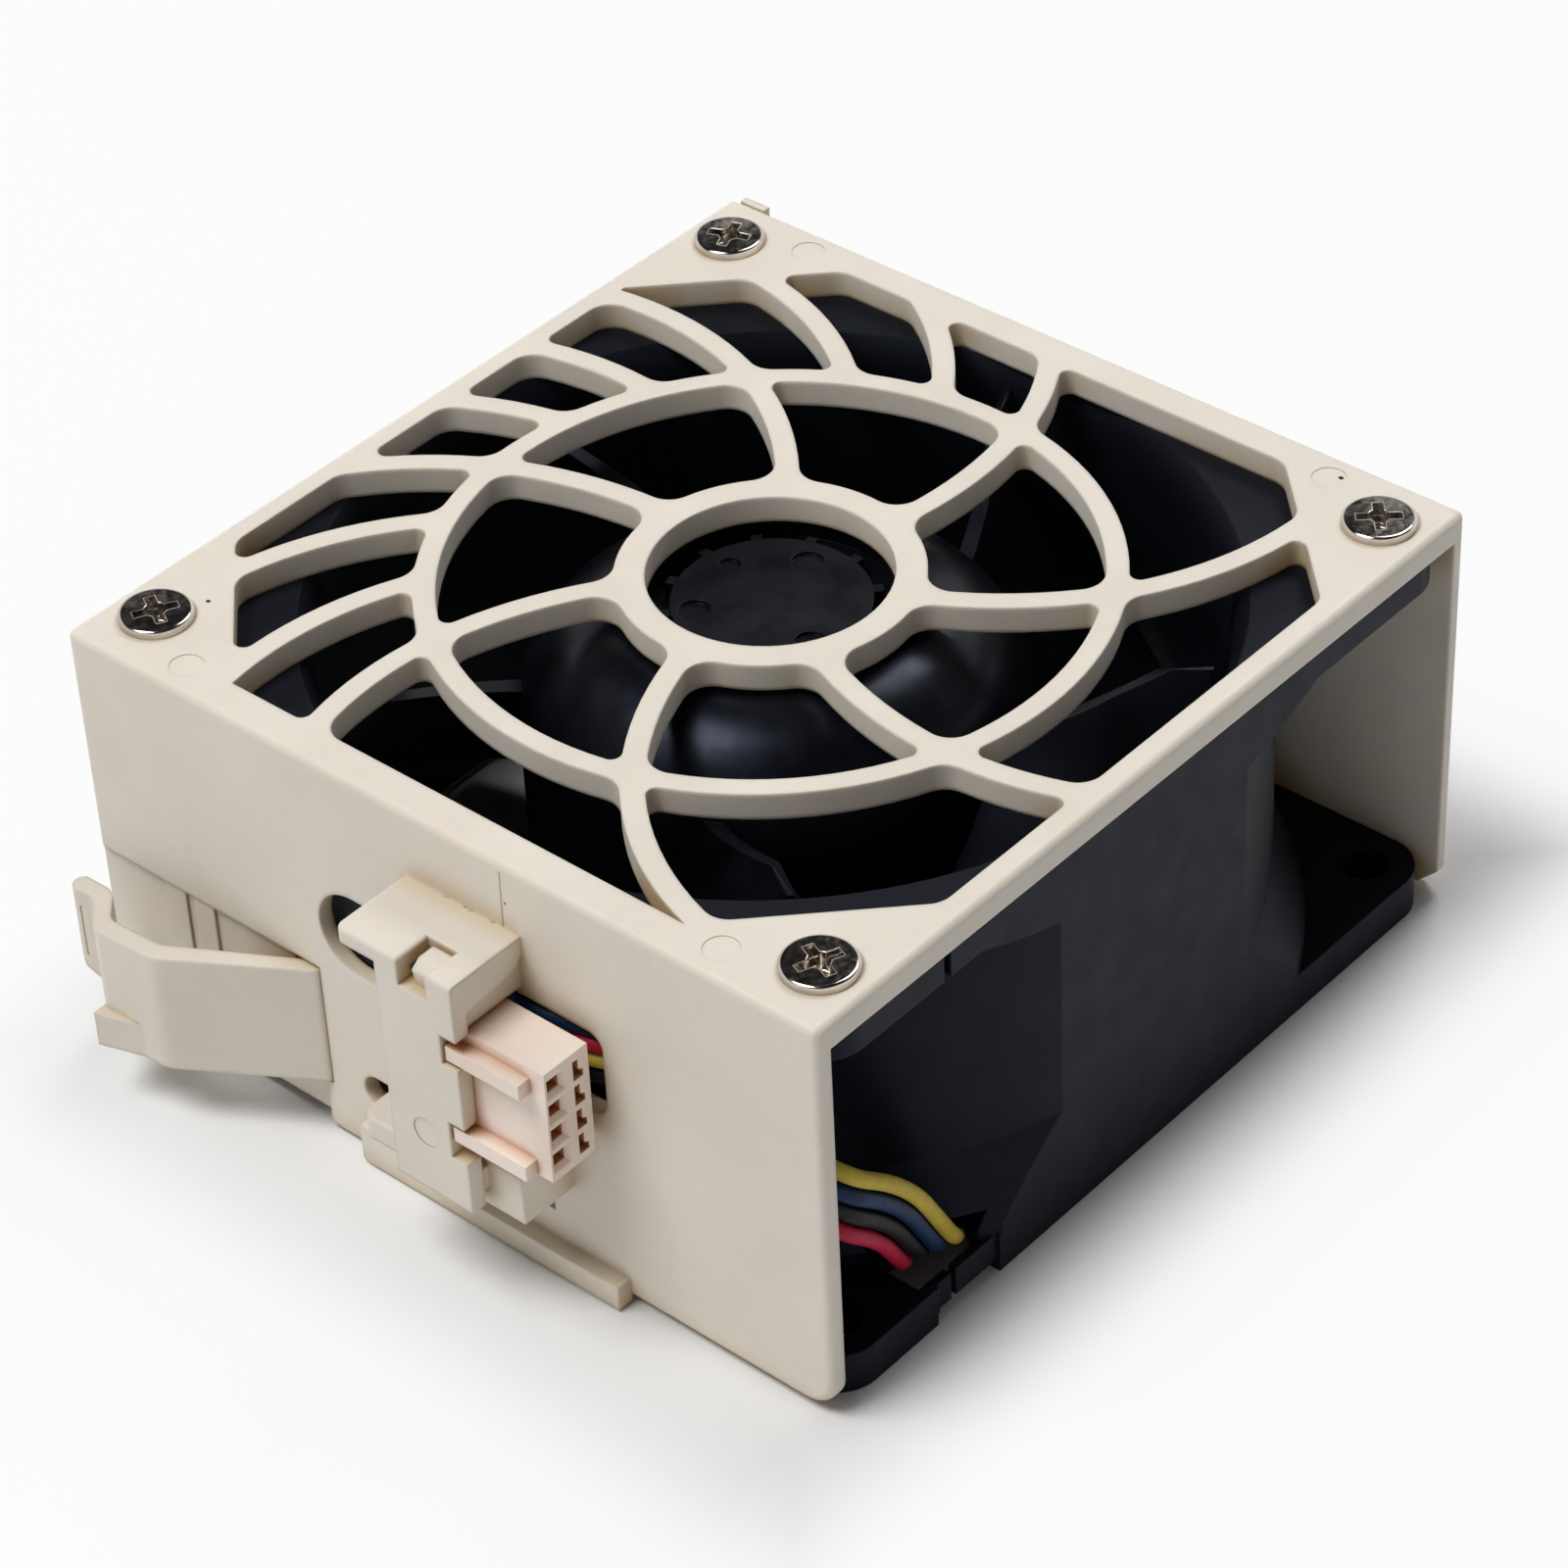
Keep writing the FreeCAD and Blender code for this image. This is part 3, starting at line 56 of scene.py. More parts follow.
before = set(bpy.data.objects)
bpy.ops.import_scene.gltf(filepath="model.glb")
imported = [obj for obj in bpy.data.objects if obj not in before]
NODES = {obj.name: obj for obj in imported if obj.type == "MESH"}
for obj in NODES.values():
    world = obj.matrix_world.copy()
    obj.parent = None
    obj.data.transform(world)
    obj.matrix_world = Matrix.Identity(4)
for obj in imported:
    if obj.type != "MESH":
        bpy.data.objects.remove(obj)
CAD_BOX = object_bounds()

# Metres in a millimetre. Lengths are in millimetres here, apart from the studio's.
MM = 0.001

# Metres between two bands of a wave texture of scale 1.
WAVE_PERIOD = 0.314

# Front wall of the bracket, and the top of the connector holder on it.
WALL_FACE = -41.6
CAP_TOP = 34.0

# Parting line on the wall above the holder, as (x, z), and its section.
PARTING_LINE = ((8.15, CAP_TOP + 0.1), (8.2, 36.0), (8.25, 39.6))
PARTING_WIDE = 0.14
PARTING_THICK = 0.08

# Grains of flash along the holder's top edge, as (x, width), and how far they reach and stand out.
FLASH_GRAINS = ((2.0, 0.75), (4.05, 0.45), (4.7, 0.5), (7.05, 0.5))
FLASH_REACH = 0.3
FLASH_STANDS = 0.1

# Burnt grains in the grille plate, as (x, y, width, length), and how tall and how deep they sit.
PLATE_SPECKS = ((29.4, 39.2, 0.55, 0.4), (-33.9, -31.6, 0.5, 0.5))
SPECK_TALL = 0.12
SPECK_SINK = 0.02
# The one in the front wall: its place and its size.
WALL_SPECK = (8.6, WALL_FACE, 36.6)
WALL_SPECK_SIZE = (0.2, 0.1, 0.25)

# Bearings: the lower face of each, and the width of both.
BEARING_LOWS = (5.4, 24.4)
BEARING_WIDE = 4.0

# A bearing's shield: the radii of its edges and bends, and how deep it lies and is dished.
SHIELD_BORE = 2.3
SHIELD_LIP = 2.45
SHIELD_BEND = 3.1
SHIELD_RIM = 3.28
SHIELD_INSET = 0.3
SHIELD_DISH = 0.12

# Coils: turns on each tooth, and the points that shape one turn.
COILS = 6
LAYERS = 2
TURNS = 9
TURN_CORNERS = 16
WINDING_RADIUS = 0.26
# Corner radius of the first layer, and what each further layer adds, in radii of the wire.
FIRST_LAYER = 1.6
NEXT_LAYER = 1.95
# The first turn's distance from the axis, the pitch of the turns, and the coil's height.
COIL_START = 8.86
COIL_PITCH = 0.547
COIL_MIDDLE = 16.2
# Half of the insulated neck of a tooth, across and upright, inside the corners.
NECK_HALF = (1.65, 7.45)

# Leads of the driver chip.
LEADS_A_SIDE = 4
LEAD_PITCH = 1.27
LEAD_WIDE = 0.45
LEAD_THICK = 0.16
# The first lead's distance from the chip's end.
FIRST_LEAD = 0.6
# A lead's path, as (distance out of the chip, height over the board).
LEAD_PATH = ((-0.1, 0.7), (0.35, 0.7), (0.6, 0.12), (1.2, 0.1))

# Chip resistors, as (distance from the axis, angle in degrees), their size and the height of
# their middle over the board.
RESISTORS = ((12.0, 20), (14.5, 45), (14.5, 140), (15.5, 215), (12.5, 250), (15.0, 300))
RESISTOR_LONG = 1.6
RESISTOR_WIDE = 0.8
RESISTOR_TALL = 0.42
RESISTOR_LIFT = 0.25

# Their end caps.
CAP_MIDDLE = 0.72
CAP_LONG = 0.32
CAP_WIDE = 0.88
CAP_TALL = 0.5

# Bared wire ends, which come up through the board side by side under the broad strut.
WIRE_LANES = 4
WIRE_LANE = 1.62
STRUT_TURN = math.radians(-33.0)
STRAND_RADIUS = 0.32
# A wire end's path, as (distance from the axis, height), and its end, above the board's top.
STRAND_PATH = ((12.75, 2.6), (12.2, 2.75), (11.8, 3.1))
STRAND_END = (11.7, 0.35)
# Its bead of solder: distance from the axis, and outline, as (radius, depth under the board).
BEAD_PLACE = 11.75
BEAD_OUTLINE = ((0.02, 0.75), (0.36, 0.7), (0.5, 0.3), (0.78, 0.0), (0.02, 0.0))
BEAD_STEPS = 20

# Spring lances of the contacts.
ROWS = 4
ROW_PITCH = 2.54
LANCE_WIDE = 1.4
LANCE_THICK = 0.16
# A lance's path, as (depth behind the housing's face, y).
LANCE_PATH = ((5.4, -44.78), (3.2, -44.74), (1.5, -44.6), (0.9, -44.66))

# The studio, in metres.
CAMERA_PLACE = Vector((0.22768, -0.24814, 0.28639))
CAMERA_TURN = Euler((math.radians(51.402), math.radians(2.258), math.radians(40.695)))
FLOOR_SIDE = 6.0
FLOOR_DROP = 0.00005
HOOD_SIDE = 3.0
HOOD_HEIGHT = 1.1

# Lamps, as (name, place, side, share of the key light's power), and what they point at.
LAMPS = (("key", (-0.2, -0.4, 0.9), 0.45, 1.0), ("rim", (-0.1, 0.6, 0.8), 0.35, 0.45))
LAMP_AIM = Vector((0, 0, 0.02))


def linear(hex_colour):
    """An sRGB hex colour as linear RGBA."""
    parts = [int(hex_colour[i:i + 2], 16) / 255 for i in (1, 3, 5)]
    return tuple(c / 12.92 if c <= 0.04045 else ((c + 0.055) / 1.055) ** 2.4 for c in parts) + (1.0,)


def add(tree, kind, inputs=None, **settings):
    """Adds a node with its settings, and fills its inputs with values or links."""
    item = tree.nodes.new(kind)
    for name, value in settings.items():
        setattr(item, name, value)
    for socket, value in (inputs or {}).items():
        if isinstance(value, bpy.types.NodeSocket):
            tree.links.new(value, item.inputs[socket])
        else:
            item.inputs[socket].default_value = value
    return item


def start_material(name):
    """A new material with its shader and output, and object coordinates in metres."""
    material = bpy.data.materials.new(name)
    material.use_nodes = True
    tree = material.node_tree
    tree.nodes.clear()
    shader = add(tree, "ShaderNodeBsdfPrincipled")
    add(tree, "ShaderNodeOutputMaterial", {"Surface": shader.outputs["BSDF"]})
    place = add(tree, "ShaderNodeTexCoord").outputs["Object"]
    return material, tree, shader, place


def noise(tree, place, size_mm, detail=3.0):
    """A noise whose cells are about size_mm across."""
    return add(tree, "ShaderNodeTexNoise",
               {"Vector": place, "Scale": 1.0 / (size_mm * MM), "Detail": detail}).outputs["Fac"]


def blend_colours(tree, factor, low, high, first, second):
    """Two colours blended by a factor between two of its values."""
    ramp = add(tree, "ShaderNodeValToRGB", {"Fac": factor})
    ramp.color_ramp.elements[0].position = low
    ramp.color_ramp.elements[1].position = high
    ramp.color_ramp.elements[0].color = linear(first)
    ramp.color_ramp.elements[1].color = linear(second)
    return ramp.outputs["Color"]


def roughness_range(tree, factor, low, high):
    """Roughness that wanders between two values with a pattern."""
    return add(tree, "ShaderNodeMapRange",
               {"Value": factor, "From Min": 0.3, "From Max": 0.7, "To Min": low, "To Max": high}
               ).outputs["Result"]


def relief(tree, height, depth_mm, normal=None):
    """A bump whose height pattern stands depth_mm tall."""
    inputs = {"Height": height, "Strength": 1.0, "Distance": depth_mm * MM}
    if normal is not None:
        inputs["Normal"] = normal
    return add(tree, "ShaderNodeBump", inputs).outputs["Normal"]


def soft_edge(tree, radius_mm):
    """The small radius that every moulded or ground edge has."""
    return add(tree, "ShaderNodeBevel", {"Radius": radius_mm * MM}, samples=6).outputs["Normal"]


def moulded(name, hex_low, hex_high, rough, edge_mm, grain_mm, depth_mm, cloud_mm=9.0):
    """A moulded thermoplastic: even colour with faint clouds from the flow of the
    melt, a fine spark-eroded grain and small rounded edges."""
    material, tree, shader, place = start_material(name)
    cloud = noise(tree, place, cloud_mm)
    grain = noise(tree, place, grain_mm, 4.0)
    colour = blend_colours(tree, cloud, 0.35, 0.68, hex_low, hex_high)
    tree.links.new(colour, shader.inputs["Base Color"])
    tree.links.new(roughness_range(tree, noise(tree, place, cloud_mm / 3), rough[0], rough[1]),
                   shader.inputs["Roughness"])
    tree.links.new(relief(tree, grain, depth_mm, soft_edge(tree, edge_mm)), shader.inputs["Normal"])
    return material, shader


def paint_hollow_shade(material, shader, painted_shade_hex, reach_mm):
    """Painted shade: mixes a deeper colour into the base colour where ambient occlusion finds hollows,
    standing in for the shade and bounced light in a milky plastic's recesses.
    """
    tree = material.node_tree
    base = shader.inputs["Base Color"]
    openness = add(tree, "ShaderNodeAmbientOcclusion", {"Distance": reach_mm * MM}, samples=8)
    share = add(tree, "ShaderNodeMapRange", {"Value": openness.outputs["AO"], "From Min": 0.25,
                                             "From Max": 0.85, "To Min": 0.0, "To Max": 1.0})
    # Inputs 6 and 7 of a colour mix are its two colours, and output 2 is the result.
    mix = add(tree, "ShaderNodeMix", {0: share.outputs["Result"], 6: linear(painted_shade_hex),
                                      7: base.links[0].from_socket}, data_type="RGBA")
    tree.links.new(mix.outputs[2], base)


def pc_abs():
    """Glass-filled PC/ABS, injection moulded: ivory, satin, with a fine even grain."""
    colours = bpy.context.scene.fan_module_bracket
    material, shader = moulded("PC-ABS moulded ivory", colours.shade, colours.colour, (0.38, 0.52),
                               edge_mm=0.55, grain_mm=0.30, depth_mm=0.005)
    # Painted shade: a deeper tan in the bracket's hollows and crevices, driven by ambient occlusion.
    paint_hollow_shade(material, shader, "#BFA67A", 4.0)
    shader.inputs["IOR"].default_value = 1.52
    shader.inputs["Subsurface Weight"].default_value = 0.75
    shader.inputs["Subsurface Radius"].default_value = (0.0030, 0.0020, 0.0009)
    return material


def pbt_frame():
    """Glass-filled PBT, injection moulded: blue-black and dull, with faint fibre mottling."""
    colours = bpy.context.scene.fan_module_fan
    material, shader = moulded("PBT moulded black", "#0B0D11", colours.frame_colour, (0.46, 0.55),
                               edge_mm=0.25, grain_mm=0.35, depth_mm=0.012, cloud_mm=12.0)
    shader.inputs["IOR"].default_value = 1.55
    shader.inputs["Specular IOR Level"].default_value = 0.14
    shader.inputs["Specular Tint"].default_value = linear("#BFCBF2")
    return material


def pbt_impeller():
    """Glass-filled PBT from a polished mould: black with a soft gloss."""
    colours = bpy.context.scene.fan_module_fan
    material, shader = moulded("PBT moulded semi-gloss", "#090A0D", colours.rotor_colour, (0.27, 0.38),
                               edge_mm=0.15, grain_mm=0.5, depth_mm=0.003)
    shader.inputs["IOR"].default_value = 1.55
    shader.inputs["Specular IOR Level"].default_value = 0.22
    shader.inputs["Specular Tint"].default_value = linear("#C4CEF0")
    return material


def nylon_natural():
    """Natural nylon, injection moulded: pinkish, slightly translucent, silky."""
    colours = bpy.context.scene.fan_module_harness
    material, shader = moulded("Nylon moulded natural", "#E8D5C6", colours.housing_colour, (0.34, 0.46),
                               edge_mm=0.15, grain_mm=0.25, depth_mm=0.004)
    # Painted shade: amber in the connector's hollows, driven by ambient occlusion.
    paint_hollow_shade(material, shader, "#B87238", 1.8)
    shader.inputs["Subsurface Weight"].default_value = 0.15
    shader.inputs["Subsurface Radius"].default_value = (0.0012, 0.0007, 0.0005)
    shader.inputs["IOR"].default_value = 1.53
    return material


def nylon_insulator():
    """White nylon caps on the stator, moulded."""
    material, _ = moulded("Nylon moulded white", "#D8D4C8", "#E4E0D6", (0.4, 0.5),
                          edge_mm=0.1, grain_mm=0.3, depth_mm=0.004)
    return material


def epoxy_black():
    """Black epoxy of a chip package, transfer moulded and matt."""
    material, _ = moulded("Epoxy moulded black", "#17181A", "#1E1F21", (0.55, 0.7),
                          edge_mm=0.1, grain_mm=0.2, depth_mm=0.008)
    return material


def ferrite():
    """Plastic-bonded ferrite magnet, pressed: charcoal grey and powdery."""
    material, _ = moulded("Ferrite pressed", "#26272A", "#303135", (0.6, 0.75),
                          edge_mm=0.2, grain_mm=0.4, depth_mm=0.015)
    return material


def metal(name, low, high, rough, pattern_mm, edge_mm=0.12):
    """A metal with slight tarnish clouds and uneven polish."""
    material, tree, shader, place = start_material(name)
    cloud = noise(tree, place, pattern_mm * 6)
    fine = noise(tree, place, pattern_mm, 5.0)
    tree.links.new(blend_colours(tree, cloud, 0.3, 0.7, low, high), shader.inputs["Base Color"])
    tree.links.new(roughness_range(tree, fine, rough[0], rough[1]), shader.inputs["Roughness"])
    tree.links.new(soft_edge(tree, edge_mm), shader.inputs["Normal"])
    shader.inputs["Metallic"].default_value = 1.0
    return material


def nickel_plate():
    """Nickel-plated steel, barrel plated: bright, warm grey, with slight handling haze."""
    return metal("Nickel plated steel", "#B5ADA4", "#D6CFC6", (0.08, 0.20), pattern_mm=0.5, edge_mm=0.15)


def ground_steel():
    """Ground bearing steel: bright and cool."""
    return metal("Bearing steel ground", "#B4B6B8", "#C6C8CA", (0.12, 0.22), pattern_mm=0.3)


def zinc_steel():
    """Drawn and zinc-plated steel: dull silver with a faint blue cast."""
    return metal("Zinc plated steel drawn", "#9FA3A8", "#B8BCC0", (0.28, 0.42), pattern_mm=0.8)


def turned_brass():
    """Free-cutting brass, turned on a lathe."""
    return metal("Brass turned", "#B9924A", "#CFAA62", (0.18, 0.32), pattern_mm=0.4)


def stamped_bronze():
    """Phosphor bronze, stamped and left bare: orange-brown and satin."""
    return metal("Phosphor bronze stamped", "#A8683A", "#C98A57", (0.25, 0.4), pattern_mm=0.3)


def solder():
    """Tin solder, melted on: bright grey with soft flow."""
    return metal("Tin solder reflowed", "#B4B4B2", "#CFCFCC", (0.2, 0.35), pattern_mm=0.3)


def tinned_steel():
    """Steel strip, pressed and tinned: pale and even."""
    return metal("Tinned steel pressed", "#A9ABAD", "#C3C5C7", (0.2, 0.3), pattern_mm=0.3)


def resistor_glaze():
    """Black glass glaze over a ceramic chip: dark and glossy."""
    material, _ = moulded("Ceramic glazed black", "#101113", "#18191C", (0.2, 0.3),
                          edge_mm=0.05, grain_mm=0.2, depth_mm=0.003)
    return material


def plastic_crumb():
    """Charred PC/ABS, burnt in the barrel: black and rough."""
    material, _ = moulded("PC-ABS charred", "#0B0A09", "#15130F", (0.7, 0.9),
                          edge_mm=0.02, grain_mm=0.1, depth_mm=0.01)
    return material


def drawn_aluminium():
    """Aluminium capacitor cans, drawn."""
    return metal("Aluminium drawn", "#BFC2C6", "#D4D6D9", (0.22, 0.35), pattern_mm=0.4)


def lamination_stack():
    """Silicon steel sheets 0.5 mm thick, stamped and stacked: edges show as bands."""
    material, tree, shader, place = start_material("Silicon steel stacked")
    bands = add(tree, "ShaderNodeTexWave",
                {"Vector": place, "Scale": WAVE_PERIOD / (0.5 * MM), "Distortion": 0.0},
                bands_direction="Z").outputs["Fac"]
    colour = blend_colours(tree, bands, 0.1, 0.7, "#3C3D40", "#77797D")
    tree.links.new(colour, shader.inputs["Base Color"])
    tree.links.new(relief(tree, bands, 0.03), shader.inputs["Normal"])
    shader.inputs["Roughness"].default_value = 0.45
    shader.inputs["Metallic"].default_value = 1.0
    return material


def enamelled_copper():
    """Copper winding wire under clear enamel: red-brown with a wet gloss."""
    return metal("Copper wire enamelled", "#7E3518", "#B9602F", (0.18, 0.3), pattern_mm=0.4)


def solder_mask():
    """Glass-epoxy laminate under a green solder mask, with copper tracks below it."""
    material, tree, shader, place = start_material("Laminate solder mask green")
    cells = add(tree, "ShaderNodeTexVoronoi", {"Vector": place, "Scale": 1 / (2.4 * MM)},
                feature="DISTANCE_TO_EDGE", distance="MANHATTAN").outputs["Distance"]
    colour = blend_colours(tree, cells, 0.08, 0.12, "#0F4A26", "#1B6A38")
    tree.links.new(colour, shader.inputs["Base Color"])
    tree.links.new(relief(tree, cells, 0.02), shader.inputs["Normal"])
    shader.inputs["Roughness"].default_value = 0.3
    return material


def pvc_sleeve(name, low, high):
    """PVC wire insulation, extruded: soft gloss with a faint long waviness."""
    material, tree, shader, place = start_material(name)
    wave = noise(tree, place, 1.6)
    tree.links.new(blend_colours(tree, wave, 0.3, 0.7, low, high), shader.inputs["Base Color"])
    tree.links.new(roughness_range(tree, noise(tree, place, 0.5), 0.42, 0.55),
                   shader.inputs["Roughness"])
    shader.inputs["Specular IOR Level"].default_value = 0.2
    tree.links.new(relief(tree, noise(tree, place, 0.4), 0.012), shader.inputs["Normal"])
    return material


def finish(node, material):
    """Gives a CAD node its material."""
    for slot in NODES[node].material_slots:
        slot.material = material


def mesh_piece(name, shells, material, body="module"):
    """One piece from shells of vertices in millimetres and faces, riding on a body."""
    vertices, faces = [], []
    for points, sides in shells:
        first = len(vertices)
        vertices += [tuple(value * MM for value in point) for point in points]
        faces += [tuple(first + corner for corner in side) for side in sides]
    mesh = bpy.data.meshes.new(name)
    mesh.from_pydata(vertices, [], faces)
    mesh.materials.append(material)
    built = bmesh.new()
    built.from_mesh(mesh)
    bmesh.ops.recalc_face_normals(built, faces=built.faces)
    built.to_mesh(mesh)
    built.free()
    piece = bpy.data.objects.new(name, mesh)
    bpy.context.scene.collection.objects.link(piece)
    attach(piece, body)
    return piece


def smooth(piece):
    """Shades a round piece smooth, with its sharp edges kept."""
    piece.data.shade_smooth()
    piece.data.set_sharp_from_angle(angle=math.radians(35))
    return piece


def tube(rows, closed=False):
    """Joins rows of points into a skin; closed rows run round to the first row."""
    count = len(rows[0])
    faces = []
    for row in range(len(rows) if closed else len(rows) - 1):
        here, after = row * count, (row + 1) % len(rows) * count
        faces += [(here + k, here + (k + 1) % count, after + (k + 1) % count, after + k)
                  for k in range(count)]
    if not closed:
        faces += [tuple(range(count)), tuple(range((len(rows) - 1) * count, len(rows) * count))]
    return [point for row in rows for point in row], faces


def sweep(path, section, side):
    """A shell of a flat section carried along a path; side is the section's first axis."""
    rows = []
    side = Vector(side)
    for index, point in enumerate(path):
        ahead = Vector(path[min(index + 1, len(path) - 1)]) - Vector(path[max(index - 1, 0)])
        ahead.normalize()
        side = (side - ahead * side.dot(ahead)).normalized()
        up = ahead.cross(side)
        rows.append([Vector(point) + side * a + up * b for a, b in section])
    return tube(rows)


def round_section(radius, sides=8):
    """The points of a wire's section."""
    turns = [2 * math.pi * k / sides for k in range(sides)]
    return [(radius * math.cos(turn), radius * math.sin(turn)) for turn in turns]


def flat_section(width, thick):
    """The points of a strip's section, with eased corners."""
    half, rise, ease = width / 2, thick / 2, thick / 5
    return [(-half + ease, -rise), (half - ease, -rise), (half, -rise + ease), (half, rise - ease),
            (half - ease, rise), (-half + ease, rise), (-half, rise - ease), (-half, -rise + ease)]


def revolve(profile, steps=48):
    """A ring shell: a closed profile of (radius, height) turned about the fan axis."""
    rows = []
    for step in range(steps):
        turn = 2 * math.pi * step / steps
        rows.append([(r * math.cos(turn), r * math.sin(turn), z) for r, z in profile])
    return tube(rows, closed=True)


def turned(shell, angle, shift=(0, 0, 0)):
    """A shell turned about the fan axis and then shifted."""
    points, faces = shell
    turn = Matrix.Rotation(angle, 3, "Z")
    return [turn @ Vector(point) + Vector(shift) for point in points], faces


def node_middle(node):
    """The middle of a CAD node's box, in millimetres."""
    low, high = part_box(node)
    return [(a + b) / 2 / MM for a, b in zip(low, high)]


def crumb(place, reach, seed):
    """A shell of one uneven grain, about reach mm across each way."""
    draw = random.Random(seed)
    built = bmesh.new()
    bmesh.ops.create_icosphere(built, subdivisions=2, radius=0.5)
    points = []
    for corner in built.verts:
        swell = draw.uniform(0.75, 1.1)
        points.append([place[k] + corner.co[k] * reach[k] * swell for k in range(3)])
    faces = [[corner.index for corner in face.verts] for face in built.faces]
    built.free()
    return points, faces


def add_flash(plastic):
    """The parting line above the connector holder and the flash left along its top edge."""
    path = [(x, WALL_FACE, z) for x, z in PARTING_LINE]
    line = sweep(path, flat_section(PARTING_WIDE, PARTING_THICK), (1, 0, 0))
    mesh_piece("wall_parting_line", [line], plastic)
    grains = []
    for seed, (x, wide) in enumerate(FLASH_GRAINS):
        place = (x, WALL_FACE - FLASH_STANDS, CAP_TOP)
        grains.append(crumb(place, (wide, FLASH_REACH, FLASH_REACH), seed))
    mesh_piece("cap_flash", grains, plastic)


def add_specks():
    """Burnt grains that were moulded into the surface."""
    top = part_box("fan_bracket")[1][2] / MM - SPECK_SINK
    grains = [crumb((x, y, top), (wide, long, SPECK_TALL), seed)
              for seed, (x, y, wide, long) in enumerate(PLATE_SPECKS, 11)]
    grains.append(crumb(WALL_SPECK, WALL_SPECK_SIZE, 13))
    mesh_piece("burnt_specks", grains, plastic_crumb())


def shield(face, dish):
    """The shell of one pressed shield, dished by dish mm between its rims."""
    return revolve([(SHIELD_BORE, face), (SHIELD_LIP, face - dish), (SHIELD_BEND, face - dish),
                    (SHIELD_RIM, face), (SHIELD_RIM, face + dish), (SHIELD_BEND, face + 0.1 * dish),
                    (SHIELD_LIP, face + 0.1 * dish), (SHIELD_BORE, face + dish)])


def add_shields():
    """Pressed shields over both faces of both bearings."""
    shells = []
    for low in BEARING_LOWS:
        shells.append(shield(low + SHIELD_INSET, SHIELD_DISH))
        shells.append(shield(low + BEARING_WIDE - SHIELD_INSET, -SHIELD_DISH))
    smooth(mesh_piece("bearing_shields", shells, tinned_steel()))


def winding():
    """The path of one coil round its tooth: two layers, out along the tooth and back."""
    path = []
    for layer in range(LAYERS):
        ease = WINDING_RADIUS * (FIRST_LAYER + NEXT_LAYER * layer)
        for step in range(TURNS * TURN_CORNERS):
            angle = 2 * math.pi * (step % TURN_CORNERS + 0.5) / TURN_CORNERS
            along = step / TURN_CORNERS
            reach = along if layer == 0 else TURNS - along
            y = math.copysign(NECK_HALF[0], math.cos(angle)) + ease * math.cos(angle)
            z = math.copysign(NECK_HALF[1], math.sin(angle)) + ease * math.sin(angle)
            path.append((COIL_START + COIL_PITCH * min(reach, TURNS - 1), y, COIL_MIDDLE + z))
    return path


def add_windings():
    """Turns of copper wire on the six teeth, in place of the plain coils."""
    coil = sweep(winding(), round_section(WINDING_RADIUS), (1, 0, 0))
    shells = [turned(coil, 2 * math.pi * number / COILS) for number in range(COILS)]
    piece = smooth(mesh_piece("coil_windings", shells, enamelled_copper()))
    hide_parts("stator_coils")


def add_board_detail():
    """Leads of the driver chip, chip resistors, and the soldered wire ends."""
    bottom, top = [corner[2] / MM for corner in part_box("circuit_board")]
    tin = solder()
    add_leads(top, tin)
    add_resistors(top, tin)
    add_joints(bottom, top, tin)


def add_leads(top, tin):
    """Gull-wing leads down from both sides of the driver chip to the board's top."""
    low, high = [[value / MM for value in corner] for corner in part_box("driver_chip")]
    leads = []
    for row in range(LEADS_A_SIDE):
        y = low[1] + FIRST_LEAD + LEAD_PITCH * row
        for side, edge in ((-1, low[0]), (1, high[0])):
            path = [(edge + out * side, y, top + lift) for out, lift in LEAD_PATH]
            leads.append(sweep(path, flat_section(LEAD_WIDE, LEAD_THICK), (0, 1, 0)))
    smooth(mesh_piece("chip_leads", leads, tin))


def block(middle, long, wide, tall):
    """A shell of an eased block along X, about the fan axis."""
    return sweep([(middle - long / 2, 0, 0), (middle + long / 2, 0, 0)],
                 flat_section(wide, tall), (0, 1, 0))


def add_resistors(top, tin):
    """Chip resistors round the motor, with tinned ends."""
    bodies, caps = [], []
    for radius, degrees in RESISTORS:
        place = (Matrix.Rotation(math.radians(degrees), 3, "Z")
                 @ Vector((radius, 0, top + RESISTOR_LIFT)))
        across = math.radians(degrees + 90)
        body = block(0, RESISTOR_LONG, RESISTOR_WIDE, RESISTOR_TALL)
        bodies.append(turned(body, across, place))
        for end in (-CAP_MIDDLE, CAP_MIDDLE):
            caps.append(turned(block(end, CAP_LONG, CAP_WIDE, CAP_TALL), across, place))
    mesh_piece("chip_resistors", bodies, resistor_glaze())
    mesh_piece("resistor_caps", caps, tin)


def add_joints(bottom, top, tin):
    """Tinned wire ends bent up through the board, each in a bead of solder below it."""
    joints = []
    for lane in range(WIRE_LANES):
        across = (lane - (WIRE_LANES - 1) / 2) * WIRE_LANE
        path = [(out, across, height) for out, height in STRAND_PATH]
        path.append((STRAND_END[0], across, top + STRAND_END[1]))
        strand = sweep(path, round_section(STRAND_RADIUS), (0, 1, 0))
        bead = revolve([(radius, bottom - depth) for radius, depth in BEAD_OUTLINE], BEAD_STEPS)
        joints.append(turned(strand, STRUT_TURN))
        joints.append(turned(turned(bead, 0, (BEAD_PLACE, across, 0)), STRUT_TURN))
    smooth(mesh_piece("solder_joints", joints, tin))


def add_lances(bronze):
    """The four spring lances of the contacts, seen in the housing's second column."""
    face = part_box("connector_housing")[1][0] / MM
    middle = node_middle("crimp_terminals")[2]
    lances = []
    for row in range(ROWS):
        z = middle + (row - (ROWS - 1) / 2) * ROW_PITCH
        path = [(face - depth, y, z) for depth, y in LANCE_PATH]
        lances.append(sweep(path, flat_section(LANCE_WIDE, LANCE_THICK), (0, 0, 1)))
    smooth(mesh_piece("contact_lances", lances, bronze))


